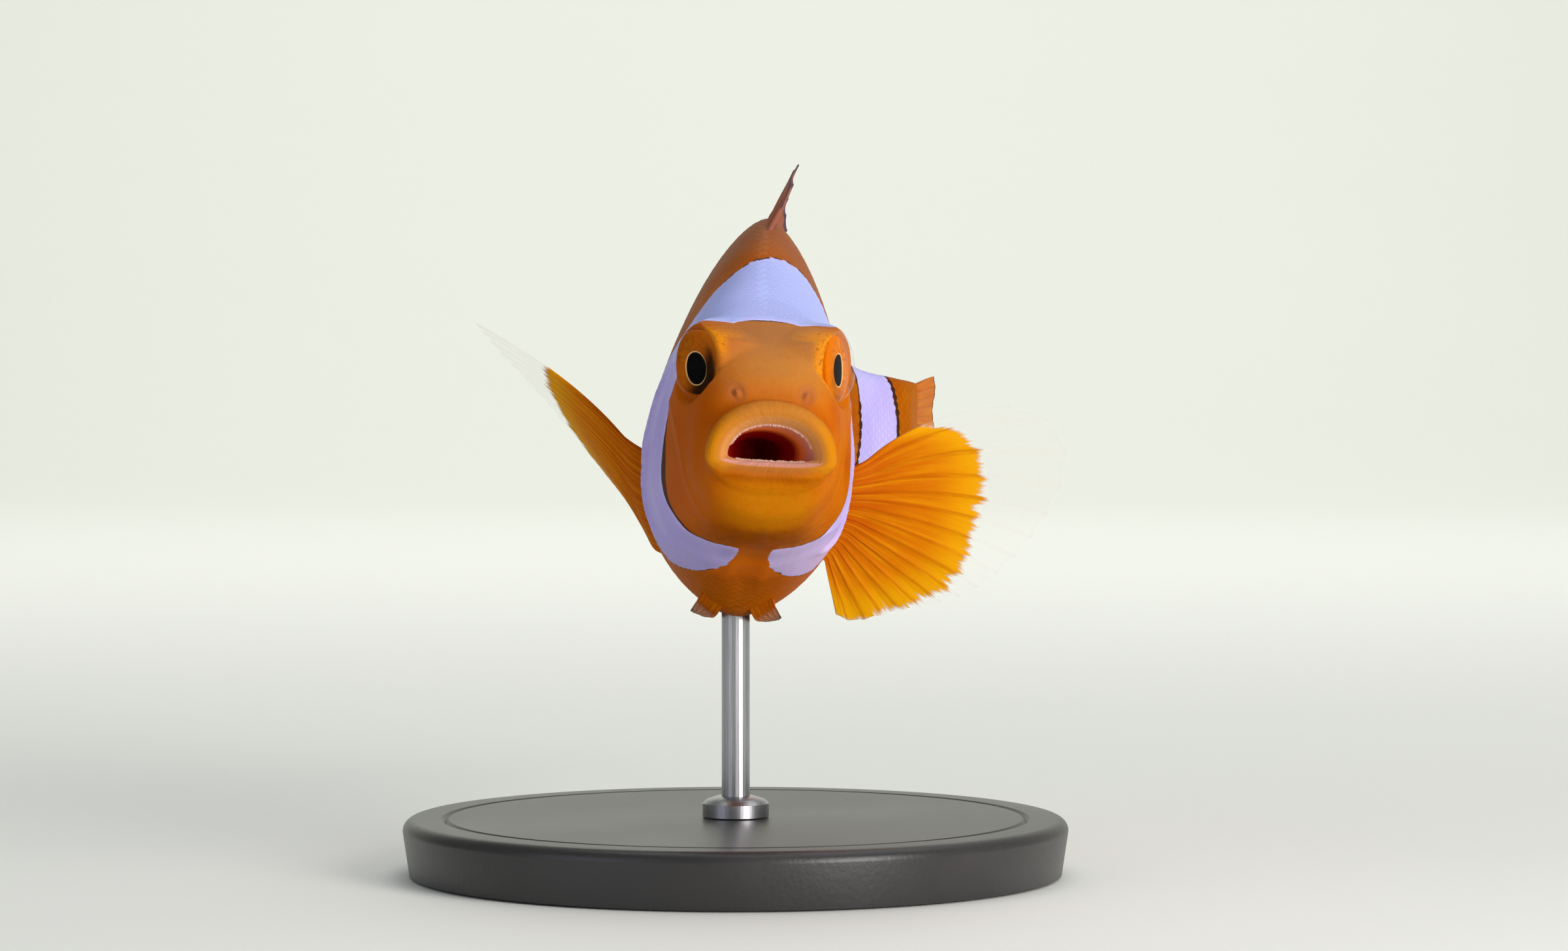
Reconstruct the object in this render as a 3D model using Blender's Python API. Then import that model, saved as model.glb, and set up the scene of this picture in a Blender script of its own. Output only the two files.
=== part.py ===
"""A clownfish, Amphiprion ocellaris, turning as it swims, on a display stand.

Every place on the fish is given in its own coordinates: how far back from the
tip of the snout, how far to its left, and how far above the line of its mouth.
body_point bends those along the spine, leans them over, and sets the fish above
the middle of the stand. The fish looks along -Y, its left is towards +X, and
the underside of the stand is at Z = 0.
"""

import math

import bmesh
import bpy
from mathutils import Vector

MM = 0.001
GAP = 0.3

MOUTH_HEIGHT = 34.0
LEAN = math.radians(3.0)
REAR_LEAN = math.radians(1.6)
REAR_LEAN_BACK = (12.0, 24.0)
HEAD_TURN = math.radians(-6.0)
SPINE_ARCS = (
    (14.0, 0.0),
    (8.0, math.radians(6.0)),
    (12.0, 0.0),
    (27.0, math.radians(46.0)),
    (8.0, math.radians(-36.0)),
    (22.0, 0.0),
)

ROUND_SIDES = 24
BASE_SIDES = 72
BASE_RADIUS = 26.0
BASE_THICKNESS = 4.5
BASE_EDGE = 0.9
ROD_RADIUS = 1.1
ROD_PLACE = 27.0
ROD_DEPTH_IN_BODY = 3.0

HEAD_END = 20.5
TRUNK_CUTS = (20.5, 32.0, 44.0, 54.5, 63.5)
TRUNK_NAMES = ("trunk_front", "trunk_middle", "trunk_rear", "tail_base")
RING_POINTS = 36
RING_STEP = 2.6

# The eyes: their place, the way the left one looks (back, left, up), and the
# opening in front of each, with how fast it widens outwards.
EYE_RADIUS = 2.7
EYE_PLACE = (8.6, 3.85, 5.8)
EYE_RINGS = 11
GAZE = (-0.50, 0.86, 0.06)
ORBIT_MOUTH = 2.3
ORBIT_FLARE = 0.22

BLADE_THICKNESS = 0.55

# Sections of the body: distance back, top, bottom, height of the widest place,
# half width, then how the upper and the lower half round off (sideways, upright).
SECTIONS = (
    (1.8, 3.8, -3.9, -0.4, 4.75, 2.2, 2.1, 2.2, 2.1),
    (3.2, 5.3, -5.2, -0.5, 5.10, 2.5, 2.3, 2.2, 2.2),
    (6.0, 7.6, -6.7, -0.8, 5.75, 3.2, 2.7, 2.2, 2.3),
    (9.0, 9.2, -7.7, -1.0, 6.65, 3.4, 2.9, 2.2, 2.5),
    (12.0, 10.9, -8.5, -1.2, 7.31, 2.34, 2.17, 2.3, 2.7),
    (16.0, 13.4, -9.9, -1.2, 7.75, 1.85, 1.55, 2.2, 2.8),
    (20.0, 15.5, -11.6, -1.0, 7.88, 1.7, 1.42, 2.0, 2.6),
    (24.0, 16.7, -13.2, -0.8, 7.68, 1.6, 1.46, 1.7, 2.4),
    (29.0, 17.0, -13.5, -0.4, 7.35, 1.5, 1.54, 1.6, 2.2),
    (35.0, 16.1, -12.8, 0.0, 6.75, 1.5, 1.6, 1.6, 2.0),
    (41.0, 13.8, -11.1, 0.0, 5.70, 1.6, 1.75, 1.6, 2.0),
    (47.0, 10.7, -8.8, 0.0, 4.45, 1.6, 2.0, 1.6, 2.0),
    (53.0, 7.5, -6.9, -0.3, 3.15, 1.7, 2.0, 1.7, 2.0),
    (58.0, 5.1, -6.0, -0.6, 2.25, 1.8, 2.0, 1.8, 2.0),
    (63.5, 4.1, -5.7, -0.8, 1.45, 1.8, 2.0, 1.8, 2.0),
)

# Rings of the open mouth, from the throat out over the lips, in the same terms.
MOUTH_RINGS = (
    (7.5, 0.5, -1.5, -0.4, 1.2, 2.0, 2.0, 2.0, 2.0),
    (4.5, 1.5, -2.2, -0.4, 2.4, 2.0, 2.0, 2.2, 2.2),
    (1.8, 1.7, -1.7, -0.4, 2.75, 2.0, 2.0, 2.4, 2.4),
    (0.7, 1.6, -1.2, -0.5, 2.70, 2.0, 2.0, 2.6, 2.4),
    (0.1, 2.2, -1.8, -0.5, 3.40, 2.0, 2.0, 2.3, 2.3),
    (0.2, 2.9, -2.6, -0.5, 4.15, 2.0, 2.0, 2.2, 2.2),
    (0.9, 3.3, -3.3, -0.4, 4.60, 2.1, 2.0, 2.2, 2.1),
)
MOUTH_SLOPE = 0.12

# The joint of the lower jaw, as distance back and height along the cut.
JAW_CUT = ((-2.0, -0.75), (3.2, -0.75), (10.5, -5.6), (12.0, -10.5), (12.0, -14.0), (-2.0, -14.0))

# The edge of the gill cover, as distance back and height.
GILL_COVER = (
    (12.2, 4.6), (14.5, 5.6), (17.0, 5.2), (19.2, 3.2), (20.0, 0.0),
    (19.6, -3.4), (18.0, -6.2), (15.5, -7.6), (13.0, -7.0), (11.6, -4.0), (11.3, 0.5),
)
GILL_COVER_FLOOR = 4.4
HEAD_CLEARANCE = 12.0

# Fins that stand on the midline: first and last place, the height from front to
# back, the backward rake of the first and last ray from upright, how far the fin
# leans over, and how far the webs between the ray tips are notched.
DORSAL_START = 21.5
DORSAL_MIDDLE = 38.5
DORSAL_END = 53.5
DORSAL_SPINES = 10
DORSAL_HEIGHTS = (3.0, 5.0, 6.1, 6.1, 5.2, 3.8, 2.8)
DORSAL_RAKE = (25.0, 42.0)
DORSAL_LEAN = math.radians(21.0)
SPINY_NOTCH = 0.08
SOFT_RAYS = 12
SOFT_NOTCH = 0.03
SOFT_DORSAL_START = 39.5
SOFT_DORSAL_HEIGHTS = (3.2, 3.6, 3.8, 3.8, 3.5, 2.8)
SOFT_DORSAL_RAKE = (96.0, 103.0)
SOFT_DORSAL_LEAN = math.radians(6.0)
ANAL_START = 40.0
ANAL_END = 53.5
ANAL_HEIGHTS = (3.2, 5.6, 7.2, 7.8, 7.2, 5.6)
ANAL_RAKE = (62.0, 77.0)
MIDLINE_ROWS = 4

# The tail fin: its root and its end, each from top to bottom, and its end's curve.
TAIL_FIN_LENGTH = 15.5
TAIL_FIN_ROOT = (3.5, -5.1)
TAIL_FIN_TIP = (4.3, -7.9)
TAIL_FIN_ROUND = 0.16
TAIL_RAYS = 13
TAIL_NOTCH = 0.025
TAIL_ROWS = 5

# Paired fins: the ends of the root, the reach of the rays from the first to the
# last, the way they set out (back, outwards, up) and the way they curl.
PECTORAL_ROOT_BACK = (21.0, 22.2)
PECTORAL_ROOT_UP = (-1.5, -8.8)
SPREAD_LENGTHS = (12.8, 15.4, 15.3, 14.4, 13.3, 12.2, 11.3, 10.3, 9.3, 8.3, 7.5, 6.5, 4.8)
SPREAD_WAYS = (
    (0.08, 0.64, 0.77), (0.05, 0.93, 0.37), (0.02, 1.00, 0.00), (0.00, 0.94, -0.34),
    (0.02, 0.81, -0.58), (0.06, 0.59, -0.81), (0.12, 0.28, -0.96),
)
SPREAD_CURLS = ((0.0, 0.25, -0.31), (0.0, 0.06, -0.21), (0.0, 0.0, -0.08), (0.0, 0.0, 0.0), (0.0, 0.0, 0.0))
FEATHERED_LENGTHS = (16.4, 16.6, 16.0, 15.2, 14.3, 13.3, 12.3, 11.3, 10.3, 9.3, 8.3, 7.3, 5.8)
FEATHERED_WAYS = (
    (0.00, 0.70, 0.71), (0.25, 0.66, 0.71), (0.48, 0.56, 0.67), (0.68, 0.44, 0.58), (0.80, 0.30, 0.50),
)
FEATHERED_CURLS = ((0.0, 0.10, -0.16), (0.0, 0.08, -0.12), (0.0, 0.05, -0.05))
PELVIC_ROOT = ((21.8, 3.0), (22.8, 2.2), (23.6, 1.45))
PELVIC_LENGTHS = (12.5, 13.5, 13.0, 11.5, 9.5)
PELVIC_WAYS = ((0.98, 0.05, -0.13), (0.99, 0.06, -0.10), (0.99, 0.10, -0.08))
PELVIC_CURLS = ((0.0, 0.0, 0.0), (0.0, 0.0, 0.0))
ROOT_POINTS = 5
PAIRED_NOTCH = 0.025
PAIRED_ROWS = 5

FINISHES = {
    "orange": ((0.62, 0.18, 0.012), 0.45),
    "white": ((0.62, 0.60, 0.86), 0.40),
    "fin": ((0.70, 0.25, 0.01), 0.50),
    "eye": ((0.02, 0.012, 0.008), 0.08),
    "stand": ((0.030, 0.028, 0.027), 0.35),
    "rod": ((0.55, 0.55, 0.56), 0.25),
}


def clear_scene():
    """Remove whatever the scene holds."""
    for obj in list(bpy.data.objects):
        bpy.data.objects.remove(obj, do_unlink=True)


def finish(node, kind):
    """Give a node a Principled material of its own."""
    colour, roughness = FINISHES[kind]
    material = bpy.data.materials.new(node.name + "_finish")
    material.use_nodes = True
    shader = material.node_tree.nodes["Principled BSDF"]
    shader.inputs["Base Color"].default_value = (*colour, 1.0)
    shader.inputs["Roughness"].default_value = roughness
    shader.inputs["Metallic"].default_value = 1.0 if kind == "rod" else 0.0
    node.data.materials.append(material)


def spine_frame(back):
    """Return the place on the spine and its heading, in millimetres and radians."""
    place = Vector((0.0, 0.0))
    heading = HEAD_TURN
    left = back
    for length, turn in SPINE_ARCS:
        part = min(left, length)
        swing = turn * part / length
        chord = part if swing == 0.0 else part * math.sin(swing / 2) / (swing / 2)
        middle = heading + swing / 2
        place += chord * Vector((math.sin(middle), math.cos(middle)))
        heading += swing
        left -= part
        if left <= 0.0:
            break
    return place, heading


def lean_at(along):
    """Return how far the body leans over to its left at a distance along the spine."""
    start, end = REAR_LEAN_BACK
    share = min(max((along - start) / (end - start), 0.0), 1.0)
    return LEAN + REAR_LEAN * share * share * (3 - 2 * share)


def frame_axes(heading, lean):
    """Return the unit vectors back, left and up at a heading and a lean."""
    back = Vector((math.sin(heading), math.cos(heading), 0.0))
    level = Vector((math.cos(heading), -math.sin(heading), 0.0))
    left = level * math.cos(lean) - Vector((0.0, 0.0, math.sin(lean)))
    up = level * math.sin(lean) + Vector((0.0, 0.0, math.cos(lean)))
    return back, left, up


def bent_point(back, left, up):
    """Return a place on the fish with the mouth at the origin, in millimetres."""
    along = max(back, 0.0)
    place, heading = spine_frame(along)
    axis_back, axis_left, axis_up = frame_axes(heading, lean_at(along))
    return Vector((*place, 0.0)) + (back - along) * axis_back + left * axis_left + up * axis_up


def mix(a, b, t):
    """Blend two numbers."""
    return a + (b - a) * t


def curve_value(values, t):
    """Read evenly spaced values as a smooth curve, t from 0 to 1."""
    place = min(max(t, 0.0), 1.0) * (len(values) - 1)
    i = min(int(place), len(values) - 2)
    u = place - i
    before = values[max(i - 1, 0)]
    after = values[min(i + 2, len(values) - 1)]
    slope_in = (values[i + 1] - before) / 2
    slope_out = (after - values[i]) / 2
    cube, square = u ** 3, u ** 2
    return (
        (2 * cube - 3 * square + 1) * values[i]
        + (cube - 2 * square + u) * slope_in
        + (3 * square - 2 * cube) * values[i + 1]
        + (cube - square) * slope_out
    )


def section_at(back):
    """Return the section row at a distance back, by a smooth curve through the rows."""
    rows = SECTIONS
    back = min(max(back, rows[0][0]), rows[-1][0])
    i = max(k for k in range(len(rows) - 1) if rows[k][0] <= back)
    span = rows[i + 1][0] - rows[i][0]
    u = (back - rows[i][0]) / span
    cube, square = u ** 3, u ** 2
    row = [back]
    for column in range(1, len(rows[0])):
        slopes = []
        for k in (i, i + 1):
            low, high = max(k - 1, 0), min(k + 1, len(rows) - 1)
            slopes.append((rows[high][column] - rows[low][column]) / (rows[high][0] - rows[low][0]))
        row.append(
            (2 * cube - 3 * square + 1) * rows[i][column]
            + (cube - 2 * square + u) * slopes[0] * span
            + (3 * square - 2 * cube) * rows[i + 1][column]
            + (cube - square) * slopes[1] * span
        )
    return row


def section_point(row, angle):
    """Return left and up of a section at an angle, from its left side upwards."""
    _, top, bottom, waist, half, up_side, up_height, low_side, low_height = row
    c, s = math.cos(angle), math.sin(angle)
    if s >= 0:
        side, height, reach = up_side, up_height, top - waist
    else:
        side, height, reach = low_side, low_height, waist - bottom
    left = math.copysign(half * abs(c) ** (2 / side), c)
    up = waist + math.copysign(reach * abs(s) ** (2 / height), s)
    return left, up


def side_at(back, up):
    """Return the half width of the body at a distance back and a height."""
    _, top, bottom, waist, half, up_side, up_height, low_side, low_height = section_at(back)
    if up >= waist:
        share = (up - waist) / (top - waist)
        side, height = up_side, up_height
    else:
        share = (waist - up) / (waist - bottom)
        side, height = low_side, low_height
    return half * (1 - min(share, 1.0) ** height) ** (1 / side)


def belly_at(back, left):
    """Return the height of the underside of the body at a distance back and to a side."""
    _, _, bottom, waist, half, _, _, low_side, low_height = section_at(back)
    return waist - (waist - bottom) * (1 - (abs(left) / half) ** low_side) ** (1 / low_height)


def stand_offset():
    """Return what moves the fish so that its rod stands on the middle of the base."""
    _, _, bottom, *_ = section_at(ROD_PLACE)
    foot = bent_point(ROD_PLACE, 0.0, bottom)
    return Vector((-foot.x, -foot.y, MOUTH_HEIGHT))


OFFSET = stand_offset()


def body_point(back, left, up):
    """Return a place on the fish in the world, in metres."""
    return (bent_point(back, left, up) + OFFSET) * MM


def section_ring(row, slope=0.0):
    """Return the world points of one section, leaning back below by its slope."""
    ring = []
    for k in range(RING_POINTS):
        left, up = section_point(row, 2 * math.pi * k / RING_POINTS)
        ring.append(body_point(row[0] - slope * up, left, up))
    return ring


def add_mesh_node(name, mesh_work, kind):
    """Turn a bmesh into a node with its faces outwards."""
    bmesh.ops.recalc_face_normals(mesh_work, faces=mesh_work.faces)
    if mesh_work.calc_volume(signed=True) < 0:
        bmesh.ops.reverse_faces(mesh_work, faces=mesh_work.faces)
    mesh = bpy.data.meshes.new(name)
    mesh_work.to_mesh(mesh)
    mesh_work.free()
    mesh.shade_smooth()
    mesh.set_sharp_from_angle(angle=math.radians(40))
    node = bpy.data.objects.new(name, mesh)
    bpy.context.scene.collection.objects.link(node)
    if kind:
        finish(node, kind)
    return node


def add_loft(name, rings, kind):
    """Join rings of points into a closed solid, with a flat face at both ends."""
    work = bmesh.new()
    loops = []
    for ring in rings:
        verts = [work.verts.new(point) for point in ring]
        edges = [work.edges.new((verts[k - 1], verts[k])) for k in range(len(verts))]
        loops.append((verts, edges))
    for (_, near), (_, far) in zip(loops, loops[1:]):
        bmesh.ops.bridge_loops(work, edges=near + far)
    for verts, _ in (loops[0], loops[-1]):
        work.faces.new(verts)
    return add_mesh_node(name, work, kind)


def body_rows(start, end):
    """Return evenly spaced section rows between two places."""
    steps = max(1, round((end - start) / RING_STEP))
    return [section_at(mix(start, end, k / steps)) for k in range(steps + 1)]


def add_cutter(name, outline, left_range, grow=0.0):
    """Add a slab of an outline, given as back and up, between two distances to the left."""
    centre_back = sum(p[0] for p in outline) / len(outline)
    centre_up = sum(p[1] for p in outline) / len(outline)
    rings = []
    for left in left_range:
        ring = []
        for back, up in outline:
            away = Vector((back - centre_back, up - centre_up))
            away += away.normalized() * grow
            ring.append(body_point(centre_back + away.x, left, centre_up + away.y))
        rings.append(ring)
    return as_cutter(add_loft(name, rings, None))


def as_cutter(node):
    """Mark a node as a cutter, which the model doesn't show."""
    node.hide_render = True
    node.display_type = "WIRE"
    return node


def cut(node, cutter, operation="DIFFERENCE"):
    """Cut a node by a cutter."""
    boolean = node.modifiers.new(cutter.name, "BOOLEAN")
    boolean.operation = operation
    boolean.solver = "EXACT"
    boolean.object = cutter


def add_ball(name, centre, radius, kind):
    """Add a ball, and return its node."""
    bpy.ops.mesh.primitive_uv_sphere_add(
        segments=ROUND_SIDES, ring_count=EYE_RINGS, radius=radius * MM, location=centre)
    node = bpy.context.object
    node.name = name
    node.data.name = name
    node.data.shade_smooth()
    if kind:
        finish(node, kind)
    return node


def add_orbit(side_name, centre, gaze):
    """Add the cutter that opens a socket along the way its eye looks."""
    reach = 2 * EYE_RADIUS
    bpy.ops.mesh.primitive_cone_add(
        vertices=ROUND_SIDES,
        radius1=ORBIT_MOUTH * MM,
        radius2=(ORBIT_MOUTH + ORBIT_FLARE * reach) * MM,
        depth=reach * MM,
        location=centre + gaze * reach / 2 * MM,
        rotation=gaze.to_track_quat("Z", "Y").to_euler())
    orbit = bpy.context.object
    orbit.name = "orbit_" + side_name
    return as_cutter(orbit)


def head_rings():
    """Return the rings of the head, from the throat out over the lips to the gills."""
    mouth = [section_ring(row, MOUTH_SLOPE) for row in MOUTH_RINGS]
    return mouth + [section_ring(row) for row in body_rows(SECTIONS[0][0], HEAD_END)]


def build_head():
    """Build the head, its lower jaw, the gill covers and the eyes."""
    width = (-HEAD_CLEARANCE, HEAD_CLEARANCE)
    head = add_loft("head", head_rings(), "orange")
    cut(head, add_cutter("jaw_room", JAW_CUT, width, GAP))
    jaw = add_loft("lower_jaw", head_rings(), "orange")
    cut(jaw, add_cutter("jaw_block", JAW_CUT, width), "INTERSECT")
    for side_name, side in (("left", 1), ("right", -1)):
        back, left, up = EYE_PLACE
        centre = body_point(back, side * left, up)
        add_ball("eye_" + side_name, centre, EYE_RADIUS, "eye")
        cut(head, as_cutter(add_ball("socket_" + side_name, centre, EYE_RADIUS + GAP, None)))
        ahead, outwards, upwards = GAZE
        gaze = (body_point(back + ahead, side * (left + outwards), up + upwards) - centre).normalized()
        cut(head, add_orbit(side_name, centre, gaze))
        cover = add_loft("gill_cover_" + side_name, head_rings(), "white")
        room = (side * GILL_COVER_FLOOR, side * HEAD_CLEARANCE)
        plate = (side * (GILL_COVER_FLOOR + GAP), side * HEAD_CLEARANCE)
        cut(cover, add_cutter("cover_block_" + side_name, GILL_COVER, plate), "INTERSECT")
        cut(head, add_cutter("cover_room_" + side_name, GILL_COVER, room, GAP))


def build_trunk():
    """Build the lengths of the trunk, with the hole for the rod."""
    kinds = ("orange", "white", "orange", "white")
    _, _, bottom, *_ = section_at(ROD_PLACE)
    foot = body_point(ROD_PLACE, 0.0, bottom)
    reach = 2 * ROD_DEPTH_IN_BODY * MM
    for k, name in enumerate(TRUNK_NAMES):
        rows = body_rows(TRUNK_CUTS[k] + GAP, TRUNK_CUTS[k + 1])
        node = add_loft(name, [section_ring(row) for row in rows], kinds[k])
        if TRUNK_CUTS[k] < ROD_PLACE < TRUNK_CUTS[k + 1]:
            bpy.ops.mesh.primitive_cylinder_add(
                vertices=ROUND_SIDES,
                radius=(ROD_RADIUS + GAP) * MM,
                depth=reach + 2 * GAP * MM,
                location=foot)
            hole = bpy.context.object
            hole.name = "rod_room"
            cut(node, as_cutter(hole))


def add_blade(name, rays, kind="fin"):
    """Add a thin fin through its rays, each a list of world points from root to tip."""
    work = bmesh.new()
    columns = [[work.verts.new(point) for point in ray] for ray in rays]
    for near, far in zip(columns, columns[1:]):
        for k in range(len(near) - 1):
            work.faces.new((near[k], far[k], far[k + 1], near[k + 1]))
    mesh = bpy.data.meshes.new(name)
    work.to_mesh(mesh)
    work.free()
    mesh.shade_smooth()
    node = bpy.data.objects.new(name, mesh)
    bpy.context.scene.collection.objects.link(node)
    thicken = node.modifiers.new("thickness", "SOLIDIFY")
    thicken.thickness = BLADE_THICKNESS * MM
    thicken.offset = 0.0
    thicken.use_even_offset = False
    thicken.use_rim = True
    finish(node, kind)
    return node


def midline_fin(name, reach_along, heights, rays, rake, lean, side, notch):
    """Build a fin that stands on the back (side 1) or under the belly (side -1).

    It runs between the two places of reach_along. The webs between the rays reach
    less far than the ray tips by the share notch.
    """
    columns = []
    count = 2 * rays - 1
    for k in range(count):
        t = k / (count - 1)
        back = mix(*reach_along, t)
        _, top, bottom, *_ = section_at(back)
        root = (top if side > 0 else bottom) + side * GAP
        height = curve_value(heights, t) * (1.0 if k % 2 == 0 else 1.0 - notch)
        angle = math.radians(mix(*rake, t))
        ray = []
        for step in range(MIDLINE_ROWS + 1):
            reach = height * step / MIDLINE_ROWS
            up = reach * math.cos(angle)
            ray.append(body_point(
                back + reach * math.sin(angle),
                up * math.sin(lean),
                root + side * up * math.cos(lean)))
        columns.append(ray)
    return add_blade(name, columns)


def build_midline_fins():
    """Build the spiny and the soft dorsal fin and the anal fin."""
    midline_fin("dorsal_fin_spiny", (DORSAL_START, DORSAL_MIDDLE), DORSAL_HEIGHTS, DORSAL_SPINES,
                DORSAL_RAKE, DORSAL_LEAN, 1, SPINY_NOTCH)
    midline_fin("dorsal_fin_soft", (SOFT_DORSAL_START, DORSAL_END), SOFT_DORSAL_HEIGHTS, SOFT_RAYS,
                SOFT_DORSAL_RAKE, SOFT_DORSAL_LEAN, 1, SOFT_NOTCH)
    midline_fin("anal_fin", (ANAL_START, ANAL_END), ANAL_HEIGHTS, SOFT_RAYS,
                ANAL_RAKE, 0.0, -1, SOFT_NOTCH)


def build_tail_fin():
    """Build the tail fin, half folded, with a rounded end."""
    columns = []
    start = TRUNK_CUTS[-1] + GAP
    for k in range(2 * TAIL_RAYS - 1):
        t = k / (2 * TAIL_RAYS - 2)
        across = 2 * t - 1
        root = mix(*TAIL_FIN_ROOT, t)
        tip = mix(*TAIL_FIN_TIP, t)
        length = TAIL_FIN_LENGTH * (1 - TAIL_FIN_ROUND * across ** 2)
        length *= 1.0 if k % 2 == 0 else 1.0 - TAIL_NOTCH
        ray = []
        for step in range(TAIL_ROWS + 1):
            share = step / TAIL_ROWS
            spread = math.sin(share * math.pi / 2)
            ray.append(body_point(start + length * share, 0.0, mix(root, tip, spread)))
        columns.append(ray)
    add_blade("tail_fin", columns)


def curve_vector(vectors, t):
    """Read evenly spaced vectors as a smooth curve, t from 0 to 1."""
    return Vector([curve_value([vector[axis] for vector in vectors], t) for axis in range(3)])


def paired_fin(name, side, roots, ways, curls, lengths):
    """Build a fin on the left (side 1) or the right (side -1).

    Its rays fan out from a row of roots, set out along ways and are carried off by
    curls, which are shares of a ray's length at its tip.
    """
    count = 2 * len(lengths) - 1
    mirror = Vector((1.0, side, 1.0))
    columns = []
    for k in range(count):
        t = k / (count - 1)
        root = curve_vector(roots, t)
        way = curve_vector(ways, t).normalized()
        curl = curve_vector(curls, t)
        length = curve_value(lengths, t) * (1.0 if k % 2 == 0 else 1.0 - PAIRED_NOTCH)
        ray = []
        for step in range(PAIRED_ROWS + 1):
            share = step / PAIRED_ROWS
            place = root + (way * share + curl * share ** 2) * length
            ray.append(body_point(*(place * mirror)))
        columns.append(ray)
    return add_blade(name, columns)


def build_paired_fins():
    """Build the left pectoral fin, spread, the right one, feathered, and the pelvic fins."""
    clear = GAP + BLADE_THICKNESS / 2
    roots = []
    for k in range(ROOT_POINTS):
        t = k / (ROOT_POINTS - 1)
        back = mix(*PECTORAL_ROOT_BACK, t)
        up = mix(*PECTORAL_ROOT_UP, t)
        roots.append((back, side_at(back, up) + clear, up))
    paired_fin("pectoral_fin_left", 1, roots, SPREAD_WAYS, SPREAD_CURLS, SPREAD_LENGTHS)
    paired_fin("pectoral_fin_right", -1, roots, FEATHERED_WAYS, FEATHERED_CURLS, FEATHERED_LENGTHS)
    clear = GAP + BLADE_THICKNESS
    roots = [(back, left, belly_at(back, left) - clear) for back, left in PELVIC_ROOT]
    for name, side in (("pelvic_fin_left", 1), ("pelvic_fin_right", -1)):
        paired_fin(name, side, roots, PELVIC_WAYS, PELVIC_CURLS, PELVIC_LENGTHS)


def build_stand():
    """Build the round base and the rod that carries the fish."""
    bpy.ops.mesh.primitive_cylinder_add(
        vertices=BASE_SIDES, radius=BASE_RADIUS * MM, depth=BASE_THICKNESS * MM,
        location=(0.0, 0.0, BASE_THICKNESS * MM / 2))
    base = bpy.context.object
    base.name = "stand_base"
    edge = base.modifiers.new("edge", "BEVEL")
    edge.width = BASE_EDGE * MM
    edge.segments = 3
    edge.limit_method = "ANGLE"
    finish(base, "stand")
    _, _, bottom, *_ = section_at(ROD_PLACE)
    low = (BASE_THICKNESS + GAP) * MM
    high = body_point(ROD_PLACE, 0.0, bottom).z + ROD_DEPTH_IN_BODY * MM
    bpy.ops.mesh.primitive_cylinder_add(
        vertices=ROUND_SIDES,
        radius=ROD_RADIUS * MM,
        depth=high - low,
        location=(0.0, 0.0, (low + high) / 2))
    rod = bpy.context.object
    rod.name = "stand_rod"
    finish(rod, "rod")


def main():
    """Build the whole model."""
    clear_scene()
    build_head()
    build_trunk()
    build_midline_fins()
    build_tail_fin()
    build_paired_fins()
    build_stand()


main()
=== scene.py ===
"""The looks of a life-size clownfish that swims on a display stand.

Places on the fish are given in its own coordinates, in millimetres: how far back
from the snout, how far to its left, and how far above the line of its mouth.
Spine.world bends them along the spine into the shared frame, in metres. The fish
looks along -Y, its left is towards +X, and it stands on Z = 0.
"""

import logging
import math
from collections.abc import Callable
from dataclasses import dataclass
from enum import Enum

import bpy
import numpy as np
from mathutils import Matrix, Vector


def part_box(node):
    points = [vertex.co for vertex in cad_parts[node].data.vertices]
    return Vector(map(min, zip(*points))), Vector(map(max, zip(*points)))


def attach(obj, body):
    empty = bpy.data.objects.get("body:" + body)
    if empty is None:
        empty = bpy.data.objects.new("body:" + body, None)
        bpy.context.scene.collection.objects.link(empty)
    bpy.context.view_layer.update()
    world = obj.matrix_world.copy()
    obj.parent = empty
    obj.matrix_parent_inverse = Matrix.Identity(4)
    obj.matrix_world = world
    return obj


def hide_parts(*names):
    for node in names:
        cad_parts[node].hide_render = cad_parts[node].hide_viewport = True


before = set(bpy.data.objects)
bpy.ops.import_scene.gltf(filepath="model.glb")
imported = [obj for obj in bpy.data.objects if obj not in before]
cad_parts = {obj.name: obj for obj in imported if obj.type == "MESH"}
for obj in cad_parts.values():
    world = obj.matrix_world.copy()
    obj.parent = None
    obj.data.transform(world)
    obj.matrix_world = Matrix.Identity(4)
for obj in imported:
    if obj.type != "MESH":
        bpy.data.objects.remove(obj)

Array = np.ndarray
Table = tuple[tuple[float, ...], ...]
Way = tuple[float, float, float]
Object = bpy.types.Object
Material = bpy.types.Material
Mesh = bpy.types.Mesh
# What a node's socket takes: a link, a colour, a number or a vector.
Value = "Sock | Tint | float | tuple[float, ...]"
MM = 0.001
LOG = logging.getLogger("clownfish")


# ---- curves


def eased(value: Array, low: float, high: float) -> Array:
    """Rise smoothly from 0 at low to 1 at high."""
    share = np.clip((value - low) / (high - low), 0.0, 1.0)
    return share * share * (3.0 - 2.0 * share)


def faded(value: Array, low: float, high: float) -> Array:
    """Fall smoothly from 1 at low to 0 at high."""
    return 1.0 - eased(value, low, high)


def hump(value: Array, centre: float, width: float) -> Array:
    """Rise to 1 at a centre and fall away over a width on both sides."""
    return np.exp(-(((value - centre) / width) ** 2))


def blend(a: Array, b: Array, share: Array) -> Array:
    """Mix a into b by a share."""
    return a + (b - a) * share


def unit(vectors: Array) -> Array:
    """Scale vectors to length 1."""
    return vectors / np.maximum(np.linalg.norm(vectors, axis=-1, keepdims=True), 1e-12)


def _hermite(low: Array, high: Array, slope_low: Array, slope_high: Array, share: Array) -> Array:
    """Join two values with a cubic that has the given slopes per share."""
    square = share ** 2
    cube = share ** 3
    return ((2 * cube - 3 * square + 1) * low + (cube - 2 * square + share) * slope_low
            + (3 * square - 2 * cube) * high + (cube - square) * slope_high)


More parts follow.
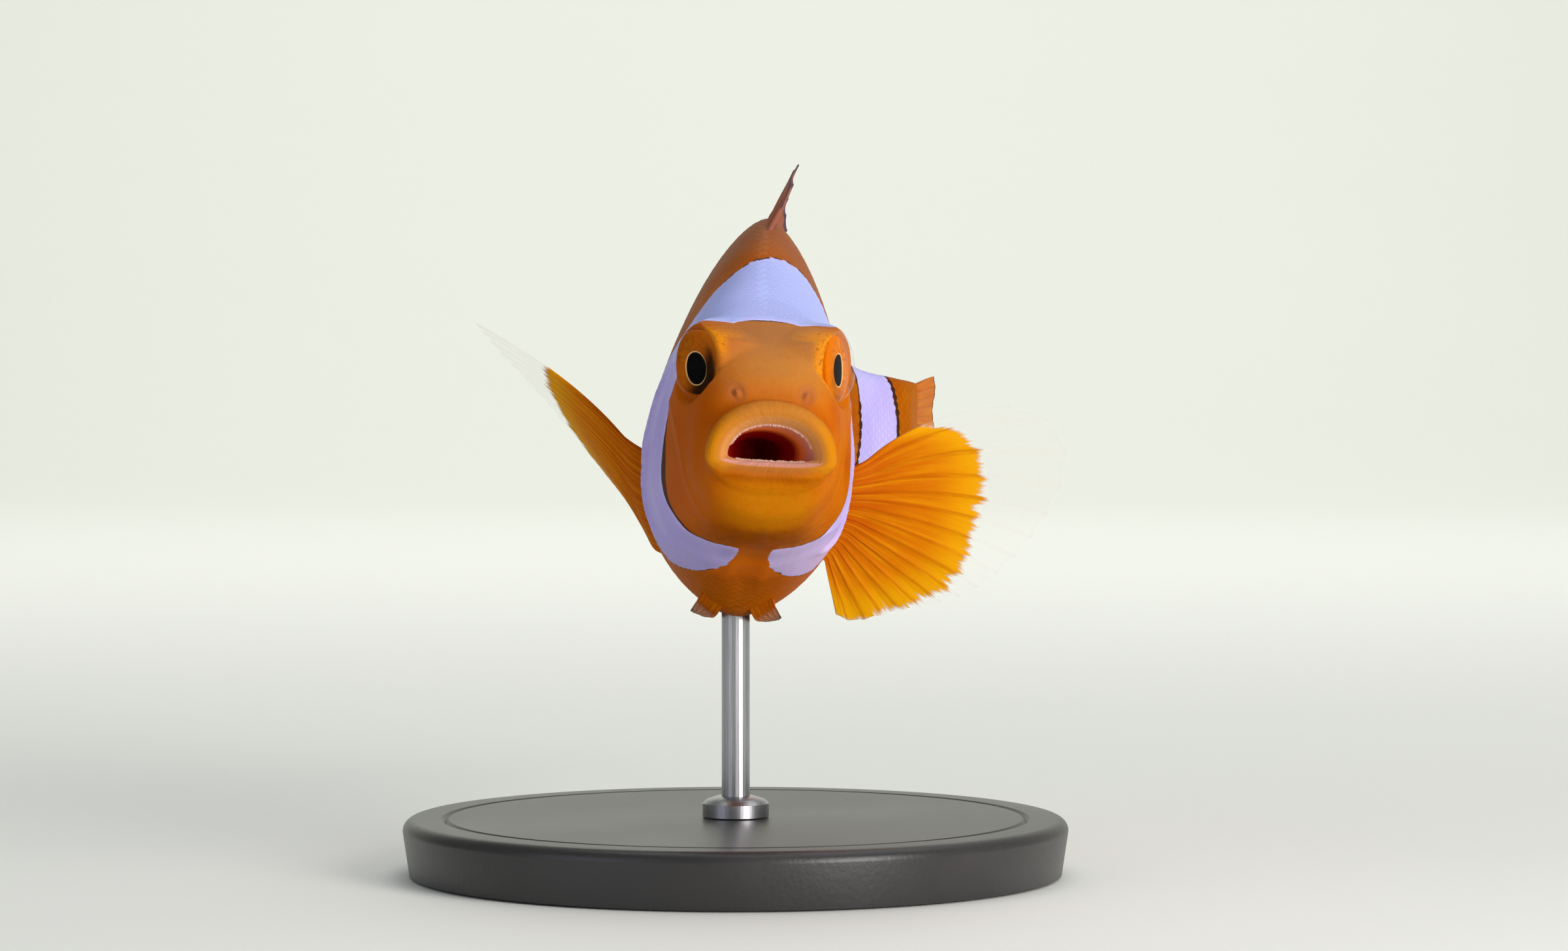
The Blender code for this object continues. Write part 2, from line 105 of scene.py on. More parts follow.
def read_rows(rows: Table, place: Array) -> Array:
    """Read a smooth curve through rows.

    Args:
        rows: Rows of a place, in rising order, and the values there.
        place: Where to read, any shape.

    Returns:
        The values, with one more axis than place.
    """
    table = np.array(rows, float)
    keys, values = table[:, 0], table[:, 1:]
    place = np.clip(np.asarray(place, float), keys[0], keys[-1])
    slopes = np.empty_like(values)
    slopes[1:-1] = (values[2:] - values[:-2]) / (keys[2:] - keys[:-2])[:, None]
    slopes[0] = (values[1] - values[0]) / (keys[1] - keys[0])
    slopes[-1] = (values[-1] - values[-2]) / (keys[-1] - keys[-2])
    i = np.clip(np.searchsorted(keys, place, side="right") - 1, 0, len(keys) - 2)
    span = (keys[i + 1] - keys[i])[..., None]
    share = (place - keys[i])[..., None] / span
    return _hermite(values[i], values[i + 1], slopes[i] * span, slopes[i + 1] * span, share)


def read_row(rows: Table, place: Array) -> Array:
    """Read a smooth curve through rows that have one value each."""
    return read_rows(rows, place)[..., 0]


def read_even(values: Table | tuple[float, ...], share: Array) -> Array:
    """Read evenly spaced values as a smooth curve, share from 0 to 1."""
    table = np.array(values, float)
    place = np.clip(np.asarray(share, float), 0.0, 1.0) * (len(table) - 1)
    i = np.minimum(place.astype(int), len(table) - 2)
    before = table[np.maximum(i - 1, 0)]
    after = table[np.minimum(i + 2, len(table) - 1)]
    u = (place - i).reshape(place.shape + (1,) * (table.ndim - 1))
    return _hermite(table[i], table[i + 1], (table[i + 1] - before) / 2, (after - table[i]) / 2, u)


def outline_distance(outline: Array, across: Array, along: Array) -> Array:
    """Return how far inside a closed outline places lie, negative outside it."""
    least = np.full(across.shape, np.inf)
    inside = np.zeros(across.shape, bool)
    for (x0, y0), (x1, y1) in zip(outline, np.roll(outline, -1, axis=0)):
        run, rise = x1 - x0, y1 - y0
        share = np.clip(((across - x0) * run + (along - y0) * rise) / (run * run + rise * rise), 0, 1)
        least = np.minimum(least, np.hypot(across - x0 - share * run, along - y0 - share * rise))
        crosses = (y0 > along) != (y1 > along)
        meets = x0 + (along - y0) * run / (rise if rise else 1e-9)
        inside ^= crosses & (across < meets)
    return np.where(inside, least, -least)


def rounded_outline(points: Table, steps: int) -> Array:
    """Turn a closed outline's corners into a smooth closed curve."""
    ring = np.array(points, float)
    made = []
    for k in range(len(ring)):
        before, here, after, later = (ring[(k + n) % len(ring)] for n in (-1, 0, 1, 2))
        for step in range(steps):
            made.append(_hermite(here, after, (after - before) / 2, (later - here) / 2, step / steps))
    return np.array(made)


# ---- the fish's form


@dataclass(frozen=True)
class Spine:
    """The line that the body bends along, seen from above.

    Each arc has a length in millimetres and a turn in degrees. The fish leans to its
    left by a few degrees, and by a little more behind its neck.
    """

    arcs: Table = ((14.0, 0.0), (8.0, 6.0), (12.0, 0.0), (27.0, 46.0), (8.0, -36.0), (22.0, 0.0))
    head_turn: float = -6.0
    lean: float = 3.0
    rear_lean: float = 1.6
    neck: tuple[float, float] = (12.0, 24.0)
    mouth_height: float = 34.0
    rod_place: float = 27.0

    def bent(self, places: Array) -> Array:
        """Bend places on the fish, with the mouth at the origin.

        Args:
            places: Places on the fish as (back, left, up), in millimetres.

        Returns:
            The same places bent, in millimetres.
        """
        back, left, up = np.moveaxis(np.asarray(places, float), -1, 0)
        along = np.maximum(back, 0.0)
        heading = np.full(back.shape, math.radians(self.head_turn))
        spot = np.zeros(back.shape + (3,))
        rest = along.copy()
        for length, turn in self.arcs:
            part = np.clip(rest, 0.0, length)
            swing = math.radians(turn) * part / length
            chord = part * np.sinc(swing / 2 / math.pi)
            middle = heading + swing / 2
            spot[..., 0] += chord * np.sin(middle)
            spot[..., 1] += chord * np.cos(middle)
            heading = heading + swing
            rest = rest - length
        lean = np.radians(self.lean + self.rear_lean * eased(along, *self.neck))[..., None]
        sine, cosine = np.sin(heading), np.cos(heading)
        zero = np.zeros(back.shape)
        axis_back = np.stack((sine, cosine, zero), -1)
        level = np.stack((cosine, -sine, zero), -1)
        upright = np.array((0.0, 0.0, 1.0))
        axis_left = level * np.cos(lean) - upright * np.sin(lean)
        axis_up = level * np.sin(lean) + upright * np.cos(lean)
        return (spot + (back - along)[..., None] * axis_back + left[..., None] * axis_left
                + up[..., None] * axis_up)

    def world(self, places: Array) -> Array:
        """Place points of the fish in the shared frame, in metres."""
        foot = self.bent(np.array((self.rod_place, 0.0, self.belly())))
        offset = np.array((-foot[0], -foot[1], self.mouth_height))
        return (self.bent(places) + offset) * MM

    def belly(self) -> float:
        """Return the height of the belly where the rod meets it."""
        return float(read_rows(BODY_ROWS, self.rod_place)[1])


# Sections of the body: distance back, top, bottom, height of the widest place,
# half width, then how the upper and the lower half round off (sideways, upright).
BODY_ROWS: Table = (
    (1.8, 3.8, -3.9, -0.4, 4.75, 2.2, 2.1, 2.2, 2.1),
    (3.2, 5.3, -5.2, -0.5, 5.10, 2.5, 2.3, 2.2, 2.2),
    (6.0, 7.6, -6.7, -0.8, 5.75, 3.2, 2.7, 2.2, 2.3),
    (9.0, 9.2, -7.7, -1.0, 6.65, 3.4, 2.9, 2.2, 2.5),
    (12.0, 10.9, -8.5, -1.2, 7.31, 2.34, 2.17, 2.3, 2.7),
    (16.0, 13.4, -9.9, -1.2, 7.75, 1.85, 1.55, 2.2, 2.8),
    (20.0, 15.5, -11.6, -1.0, 7.88, 1.7, 1.42, 2.0, 2.6),
    (24.0, 16.7, -13.2, -0.8, 7.68, 1.6, 1.46, 1.7, 2.4),
    (29.0, 17.0, -13.5, -0.4, 7.35, 1.5, 1.54, 1.6, 2.2),
    (35.0, 16.1, -12.8, 0.0, 6.75, 1.5, 1.6, 1.6, 2.0),
    (41.0, 13.8, -11.1, 0.0, 5.70, 1.6, 1.75, 1.6, 2.0),
    (47.0, 10.7, -8.8, 0.0, 4.45, 1.6, 2.0, 1.6, 2.0),
    (53.0, 7.5, -6.9, -0.3, 3.15, 1.7, 2.0, 1.7, 2.0),
    (58.0, 5.1, -6.0, -0.6, 2.25, 1.8, 2.0, 1.8, 2.0),
    (63.5, 4.1, -5.7, -0.8, 1.45, 1.8, 2.0, 1.8, 2.0),
)

# The flesh runs on over the root of the tail fin, in the same terms.
TAIL_ROWS: Table = (
    (65.4, 3.9, -5.6, -0.8, 0.78, 1.8, 2.0, 1.8, 2.0),
    (67.2, 3.7, -5.5, -0.9, 0.30, 1.8, 2.0, 1.8, 2.0),
)

# The open mouth from the throat out over the teeth and lips: distance back of its
# upper and of its lower half, top, bottom, widest height, half width, rounding.
MOUTH_ROWS: Table = (
    (8.6, 8.4, 0.0, -0.9, -0.40, 0.50, 2.0, 2.0, 2.0, 2.0),
    (6.6, 6.4, 0.6, -1.2, -0.30, 1.45, 2.0, 2.0, 2.2, 2.2),
    (4.6, 4.4, 0.8, -1.15, -0.25, 1.90, 2.0, 2.0, 2.4, 2.4),
    (3.1, 3.0, 1.02, -0.98, -0.30, 2.30, 2.1, 2.0, 2.6, 2.4),
    (2.1, 1.95, 1.52, -0.86, -0.40, 2.80, 2.2, 2.0, 2.8, 2.4),
    (1.50, 1.20, 1.84, -0.84, -0.50, 3.12, 2.2, 2.0, 3.2, 2.4),
    (1.16, 0.98, 2.06, -0.92, -0.52, 3.34, 2.2, 2.0, 3.2, 2.4),
    (0.95, 0.84, 2.25, -1.04, -0.55, 3.54, 2.2, 2.0, 3.0, 2.4),
    (0.66, 0.62, 2.45, -1.16, -0.58, 3.78, 2.2, 2.0, 3.0, 2.4),
    (0.54, 0.48, 2.82, -1.34, -0.62, 4.16, 2.2, 2.0, 2.9, 2.3),
    (0.62, 0.52, 3.12, -1.58, -0.66, 4.50, 2.2, 2.0, 2.7, 2.3),
    (0.84, 0.64, 3.36, -1.84, -0.66, 4.74, 2.2, 2.0, 2.5, 2.2),
    (1.13, 0.78, 3.54, -2.18, -0.60, 4.86, 2.2, 2.0, 2.4, 2.2),
    (1.42, 1.02, 3.66, -2.75, -0.52, 4.82, 2.2, 2.1, 2.3, 2.1),
)
MOUTH_SLOPE = 0.12

# How far out of the mouth the scales count as lying: beyond every row of the lips.
OUT_OF_MOUTH = 16.0


@dataclass(frozen=True)
class Bands:
    """The white bands: their edges as rows of height and distance back."""

    eye_place: Way = (8.24, 3.9, 6.12)
    eye_gaze: tuple[float, float] = (-0.5, 0.866)
    eye_ring: float = 2.80
    head_front: Table = (
        (-9.0, 8.2), (-7.65, 8.6), (-7.3, 9.4), (-6.7, 10.2), (-5.5, 10.8), (-4.1, 11.3), (-2.6, 11.6),
        (-0.6, 11.45), (1.0, 11.1), (2.6, 10.8), (4.4, 10.2), (5.6, 9.75), (6.6, 9.4), (7.7, 8.8),
        (12.0, 8.3),
    )
    head_rear: Table = (
        (-13.0, 19.5), (-9.5, 19.4), (-5.0, 19.4), (0.0, 20.4), (5.0, 20.0), (10.0, 18.7), (14.0, 16.8),
        (16.0, 16.3),
    )
    nape_edge: float = 9.45
    nape_curve: float = -0.055
    nape_skew: float = 0.7
    throat_gap: Table = ((8.0, 1.3), (11.2, 1.25), (14.1, 1.9), (16.4, 3.2), (19.0, 5.2), (21.0, 7.0))
    body_front: Table = (
        (-13.5, 34.0), (-7.0, 32.2), (0.0, 28.6), (4.0, 28.2), (9.0, 30.4), (17.0, 33.0), (23.0, 35.0),
    )
    body_rear: Table = ((-13.5, 38.5), (0.0, 38.6), (9.0, 39.8), (17.0, 41.5), (23.0, 43.5))
    tail_front: Table = ((-8.0, 56.0), (0.0, 55.4), (8.0, 56.4))
    tail_rear: Table = ((-8.0, 61.0), (0.0, 61.4), (8.0, 60.8))

    def depth(self, places: Array) -> Array:
        """Return how deep inside a band places lie, in millimetres, negative outside."""
        back, left, up = np.moveaxis(places, -1, 0)
        front = read_row(self.head_front, up)
        nape = self.nape_edge + self.nape_curve * left ** 2
        front = blend(front, nape, eased(up, 8.0, 9.0) * faded(np.abs(left), 4.6, 5.6))
        rear = read_row(self.head_rear, up) + self.nape_skew * left * eased(up, 5.0, 10.0)
        head = np.minimum(back - front, rear - back)
        gap = np.where(up < -5.0, np.abs(left) - read_row(self.throat_gap, back), 9.0)
        deepest = np.minimum(np.minimum(head, gap), self.past_eye(places) - self.eye_ring)
        for fore, aft in ((self.body_front, self.body_rear), (self.tail_front, self.tail_rear)):
            here = np.minimum(back - read_row(fore, up), read_row(aft, up) - back)
            deepest = np.maximum(deepest, here)
        return deepest

    def past_eye(self, places: Array) -> Array:
        """Return how far places are from the line along which the nearer eye looks."""
        apart = np.where((False, True, False), np.abs(places), places) - self.eye_place
        ahead, aside = self.eye_gaze
        height = apart[..., 0] * ahead + apart[..., 1] * aside
        across = apart - height[..., None] * np.array((ahead, aside, 0.0))
        return np.where(places[..., 0] < 13.0, np.linalg.norm(across, axis=-1), 9.0)

    def border(self, places: Array) -> Array:
        """Return how wide the black border of the nearest band is, in millimetres."""
        back, left, up = np.moveaxis(places, -1, 0)
        cheek = hump(up, -2.2, 2.7) * np.where(left < 0, 1.05, 0.10)
        throat = hump(up, -6.8, 1.6) * 0.16
        nape = eased(up, 6.0, 7.5) * 0.07
        head = 0.05 + cheek + throat + nape
        gap = np.abs(left) - read_row(self.throat_gap, back)
        head = head * np.where(up < -5.0, eased(gap, 0.3, 1.2), 1.0) * eased(self.past_eye(places), 2.9, 3.5)
        rear = 0.10 + 0.05 * eased(-up, 2.0, 8.0)
        head = blend(head, rear, eased(back, 14.0, 16.0))
        return blend(head, np.full(back.shape, 0.42), eased(back, 23.0, 25.0))


@dataclass(frozen=True)
class EyeForm:
    """An eye's place and make, in millimetres, for the left side.

    Yaw is how far it looks away from straight ahead, in degrees. The skin rises to a
    rim round the eye, falls away over a skirt outside it and into a bowl behind it.
    """

    centre: Way = (8.6, 4.1, 5.95)
    droop: tuple[float, float] = (0.0, 0.16)
    yaws: tuple[float, float] = (66.5, 53.0)
    pitches: tuple[float, float] = (3.0, -6.0)
    rim_yaw: float = 60.0
    disc_height: float = 1.45
    disc_radius: float = 2.62
    offset: tuple[float, float] = (0.42, 0.26)
    dome_height: float = 0.98
    pupil_radius: float = 1.14
    front_angle: float = 72.0
    ball_depth: float = 2.9
    lens: tuple[float, float] = (-0.08, 0.12)
    iris: tuple[float, float] = (-0.02, 0.14)
    cornea_gap: tuple[float, float] = (0.02, 0.06)
    rim_rise: float = 0.05
    rim_width: float = 0.13
    bowl_depth: float = 1.2
    skirt: float = 1.5
    steepness: tuple[float, float] = (3.4, 2.4)
    softness: float = 0.14

    def gaze(self, side: int, yaw: float, pitch: float) -> Array:
        """Return the way an eye looks, as (back, left, up)."""
        turn, rise = math.radians(yaw), math.radians(pitch)
        level = math.cos(rise)
        return np.array((-math.cos(turn) * level, side * math.sin(turn) * level, math.sin(rise)))

    def place(self, side: int) -> Array:
        """Return the centre of the left eye (side 1) or the right one (side -1)."""
        back, left, up = self.centre
        return np.array((back, side * left, up - self.droop[0 if side > 0 else 1]))


def ring_points(rows: Array, count: int) -> tuple[Array, Array]:
    """Walk round sections in even steps, from the left side upwards.

    Args:
        rows: Rows of top, bottom, widest height, half width and the four roundings.
        count: How many points each ring has, a multiple of four.

    Returns:
        The distance to the left and the height, each of shape (rows, count).
    """
    fine = 160
    angles = np.linspace(0.0, 2.0 * math.pi, 4 * fine + 1)
    cosine, sine = np.cos(angles), np.sin(angles)
    left = np.empty((len(rows), count))
    up = np.empty((len(rows), count))
    quarter = count // 4
    for n, (top, bottom, waist, half, up_side, up_height, low_side, low_height) in enumerate(rows):
        above = sine >= 0.0
        side = np.where(above, up_side, low_side)
        height = np.where(above, up_height, low_height)
        reach = np.where(above, top - waist, waist - bottom)
        x = np.sign(cosine) * half * np.abs(cosine) ** (2.0 / side)
        z = waist + np.sign(sine) * reach * np.abs(sine) ** (2.0 / height)
        for q in range(4):
            piece = slice(q * fine, (q + 1) * fine + 1)
            steps = np.hypot(np.diff(x[piece]), np.diff(z[piece]))
            length = np.concatenate(((0.0,), np.cumsum(steps)))
            wanted = np.linspace(0.0, length[-1], quarter + 1)[:-1]
            left[n, q * quarter:(q + 1) * quarter] = np.interp(wanted, length, x[piece])
            up[n, q * quarter:(q + 1) * quarter] = np.interp(wanted, length, z[piece])
    return left, up


def grid_normals(places: Array) -> Array:
    """Return the outward normals of a grid whose second axis runs round a body."""
    along = np.gradient(places, axis=0)
    around = np.roll(places, -1, axis=1) - np.roll(places, 1, axis=1)
    return unit(np.cross(along, around))


# ---- meshes


def deselect_all() -> None:
    """Deselect every object."""
    for other in bpy.context.selected_objects:
        other.select_set(False)


def select_only(obj: Object) -> None:
    """Select and activate one object and nothing else."""
    deselect_all()
    obj.select_set(True)
    bpy.context.view_layer.objects.active = obj


def named(name: str) -> Object:
    """Name the object that was just added, and return it."""
    obj = bpy.context.object
    obj.name = obj.data.name = name
    return obj


def coordinates(mesh: Mesh) -> Array:
    """Read a mesh's vertices as an array of shape (vertices, 3)."""
    flat = np.empty(len(mesh.vertices) * 3, np.float32)
    mesh.vertices.foreach_get("co", flat)
    return flat.reshape(-1, 3).astype(float)


def place_vertices(mesh: Mesh, places: Array) -> None:
    """Move a mesh's vertices to places, in metres."""
    mesh.vertices.foreach_set("co", np.asarray(places, np.float32).ravel())
    mesh.update()


def store(mesh: Mesh, name: str, *values: Array) -> None:
    """Keep three values per vertex, in one array or in three, under a name that materials read."""
    layer = mesh.attributes.new(name, "FLOAT_VECTOR", "POINT")
    layer.data.foreach_set("vector", np.column_stack(values).astype(np.float32).ravel())


def add_grid(name: str, columns: int, rows: int) -> tuple[Object, Array, Array]:
    """Add a flat grid, and return it with each vertex's column and row."""
    deselect_all()
    bpy.ops.mesh.primitive_grid_add(x_subdivisions=columns - 1, y_subdivisions=rows - 1, size=2.0)
    obj = named(name)
    flat = coordinates(obj.data)
    column = np.rint((flat[:, 0] + 1.0) / 2.0 * (columns - 1)).astype(int)
    row = np.rint((flat[:, 1] + 1.0) / 2.0 * (rows - 1)).astype(int)
    return obj, column, row


def weld(obj: Object, reach: float = 1e-7) -> None:
    """Merge an object's doubles and turn its faces outwards."""
    select_only(obj)
    bpy.ops.object.mode_set(mode="EDIT")
    bpy.ops.mesh.select_all(action="SELECT")
    bpy.ops.mesh.remove_doubles(threshold=reach)
    bpy.ops.mesh.normals_make_consistent(inside=False)
    bpy.ops.mesh.select_all(action="DESELECT")
    bpy.ops.object.mode_set(mode="OBJECT")


def face_outwards(obj: Object) -> None:
    """Turn a closed mesh's faces out where its volume says they point in."""
    mesh = obj.data
    mesh.calc_loop_triangles()
    corners = coordinates(mesh)[np.array([t.vertices[:] for t in mesh.loop_triangles])]
    volume = np.einsum("ij,ij->i", corners[:, 0], np.cross(corners[:, 1], corners[:, 2])).sum()
    if volume < 0.0:
        mesh.flip_normals()


def apply_modifiers(obj: Object) -> None:
    """Apply every modifier of an object."""
    select_only(obj)
    for modifier in list(obj.modifiers):
        bpy.ops.object.modifier_apply(modifier=modifier.name)


def shade_smooth(obj: Object) -> None:
    """Shade an object smooth."""
    select_only(obj)
    bpy.ops.object.shade_smooth()


def shade_crisp(obj: Object, sharp: float) -> None:
    """Turn a closed mesh's faces out, and shade it smooth up to an angle in degrees."""
    face_outwards(obj)
    select_only(obj)
    bpy.ops.object.shade_smooth_by_angle(angle=math.radians(sharp))


def shade_closed(obj: Object) -> None:
    """Turn a closed mesh's faces out, and shade it smooth."""
    face_outwards(obj)
    shade_smooth(obj)


def mesh_arrays(obj: Object) -> tuple[Array, list[tuple[int, ...]]]:
    """Read an object's vertices and faces, and remove the object."""
    points = coordinates(obj.data)
    faces = [tuple(polygon.vertices) for polygon in obj.data.polygons]
    bpy.data.objects.remove(obj, do_unlink=True)
    return points, faces


def join_copies(name: str, points: Array, faces: list[tuple[int, ...]]) -> Object:
    """Make one mesh of many placed copies of a shape.

    Args:
        name: The new object's name.
        points: The copies' vertices in metres, of shape (copies, vertices, 3).
        faces: The faces of one copy.

    Returns:
        The new object.
    """
    copies, size, _ = points.shape
    loops = np.concatenate([np.array(face) for face in faces])
    lengths = np.array([len(face) for face in faces])
    all_loops = (loops[None, :] + (np.arange(copies) * size)[:, None]).ravel()
    starts = np.concatenate(((0,), np.cumsum(np.tile(lengths, copies))[:-1]))
    mesh = bpy.data.meshes.new(name)
    mesh.vertices.add(copies * size)
    mesh.loops.add(len(all_loops))
    mesh.polygons.add(len(starts))
    mesh.vertices.foreach_set("co", points.astype(np.float32).ravel())
    mesh.loops.foreach_set("vertex_index", all_loops.astype(np.int32))
    mesh.polygons.foreach_set("loop_start", starts.astype(np.int32))
    mesh.update(calc_edges=True)
    mesh.validate()
    obj = bpy.data.objects.new(name, mesh)
    bpy.context.scene.collection.objects.link(obj)
    return obj


def dress(obj: Object, material: Material, slot: str, *nodes: str) -> None:
    """Finish a piece: its material, its body and the nodes that it stands for; its slot is not used."""
    obj.data.materials.clear()
    obj.data.materials.append(material)
    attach(obj, "root")
    if nodes:
        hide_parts(*nodes)
    LOG.info("%s: %d faces", obj.name, len(obj.data.polygons))


# ---- shader maths


class Paint:
    """A material's nodes, built through one method."""

    def __init__(self, name: str) -> None:
        """Start a material with a Principled shader."""
        self.material = bpy.data.materials.new(name)
        self.material.use_nodes = True
        self.tree = self.material.node_tree
        self.shader = self.tree.nodes["Principled BSDF"]

    def node(self, kind: str, settings: dict | None = None, feeds: dict | None = None,
             output: int = 0) -> "Sock":
        """Add a node.

        Args:
            kind: The node's type.
            settings: Its options, and under "stops" a ramp's places and colours.
            feeds: What its sockets take.
            output: Which output to return.

        Returns:
            The chosen output.
        """
        made = self.tree.nodes.new(kind)
        for key, value in (settings or {}).items():
            if key != "stops":
                setattr(made, key, value)
                continue
            stops = made.color_ramp.elements
            while len(stops) < len(value):
                stops.new(1.0)
            for stop, (place, colour) in zip(stops, value):
                stop.position = place
                stop.color = colour.light
        for key, value in (feeds or {}).items():
            self.feed(made.inputs[key], value)
        return Sock(self, made.outputs[output])

    def feed(self, socket: bpy.types.NodeSocket, value: Value) -> None:
        """Link or set a socket."""
        if isinstance(value, Sock):
            self.tree.links.new(value.socket, socket)
        else:
            socket.default_value = value.light if isinstance(value, Tint) else value

    def set(self, **values: Value) -> None:
        """Feed the shader's sockets, named with _ for a space."""
        for key, value in values.items():
            self.feed(self.shader.inputs[key.replace("_", " ")], value)

    def attribute(self, name: str) -> "Sock":
        """Read three values kept on the mesh."""
        return self.node("ShaderNodeAttribute", {"attribute_name": name}, output=1)

    def parts(self, vector: "Sock") -> tuple["Sock", "Sock", "Sock"]:
        """Split a vector into its three values."""
        made = self.tree.nodes.new("ShaderNodeSeparateXYZ")
        self.tree.links.new(vector.socket, made.inputs[0])
        return tuple(Sock(self, output) for output in made.outputs)

    def place(self) -> "Sock":
        """Read the place on the object, in metres."""
        return self.node("ShaderNodeTexCoord", output=3)

    def flat(self, x: Value, y: Value) -> "Sock":
        """Join two values into a vector whose third one is 0."""
        return self.node("ShaderNodeCombineXYZ", feeds={0: x, 1: y, 2: 0.0})

    def noise(self, place: "Sock", scale: float, detail: float = 2.0, rough: float = 0.5) -> "Sock":
        """Read a soft noise from 0 to 1."""
        return self.node("ShaderNodeTexNoise", feeds={
            "Vector": place, "Scale": scale, "Detail": detail, "Roughness": rough})

    def eased(self, value: "Sock", low: float, high: float) -> "Sock":
        """Rise smoothly from 0 at low to 1 at high."""
        smooth = {"interpolation_type": "SMOOTHSTEP"}
        return self.node("ShaderNodeMapRange", smooth, {0: value, 1: low, 2: high})

    def faded(self, value: "Sock", low: float, high: float) -> "Sock":
        """Fall smoothly from 1 at low to 0 at high."""
        return 1.0 - self.eased(value, low, high)

    def layered(self, colour: Value, *layers: tuple[Value, Value]) -> "Sock":
        """Lay colours over a first one, each by its own share."""
        for share, tint in layers:
            feeds = {0: share, 6: colour, 7: tint}
            colour = self.node("ShaderNodeMix", {"data_type": "RGBA"}, feeds, output=2)
        return colour

    def ramp(self, value: "Sock", stops: tuple) -> "Sock":
        """Read a colour ramp."""
        return self.node("ShaderNodeValToRGB", {"stops": stops}, {0: value})

    def bump(self, height: "Sock", depth: float) -> "Sock":
        """Raise the surface by a height from 0 to 1, times a depth in metres."""
        return self.node("ShaderNodeBump", feeds={"Height": height, "Distance": depth})


def _maths(operation: str, swapped: bool = False) -> Callable:
    """Make a method of Sock that adds a Math node."""
    def method(self: "Sock", other: Value = 0.0) -> "Sock":
        """Add the node, fed with this value and another."""
        pair = (other, self) if swapped else (self, other)
        return self.paint.node("ShaderNodeMath", {"operation": operation}, dict(enumerate(pair)))
    return method


class Sock:
    """A value inside a material, which Python's operators combine."""

    def __init__(self, paint: Paint, socket: bpy.types.NodeSocket) -> None:
        """Wrap an output socket."""
        self.paint = paint
        self.socket = socket

    __add__ = __radd__ = _maths("ADD")
    __mul__ = __rmul__ = _maths("MULTIPLY")
    __sub__, __rsub__ = _maths("SUBTRACT"), _maths("SUBTRACT", swapped=True)
    __truediv__, __pow__ = _maths("DIVIDE"), _maths("POWER")
    __abs__, rounded, turn_from = _maths("ABSOLUTE"), _maths("ROUND"), _maths("ARCTAN2")

    def __neg__(self) -> "Sock":
        """Change the sign."""
        return self * -1.0

    def scaled(self, factor: Way) -> "Sock":
        """Multiply a vector by a vector."""
        return self.paint.node("ShaderNodeVectorMath", {"operation": "MULTIPLY"}, {0: self, 1: factor})


@dataclass(frozen=True)
class Tint:
    """A colour as a screen shows it, each part from 0 to 255."""

    red: int
    green: int
    blue: int

    @property
    def light(self) -> tuple[float, float, float, float]:
        """The colour as light, with full alpha."""
        parts = [value / 255.0 for value in (self.red, self.green, self.blue)]
        return tuple(p / 12.92 if p <= 0.04045 else ((p + 0.055) / 1.055) ** 2.4 for p in parts) + (1.0,)


# ---- finishes


class Surface(Enum):
    """What a coloured surface is made of."""

    SKIN = "skin"
    SCALE = "scale"


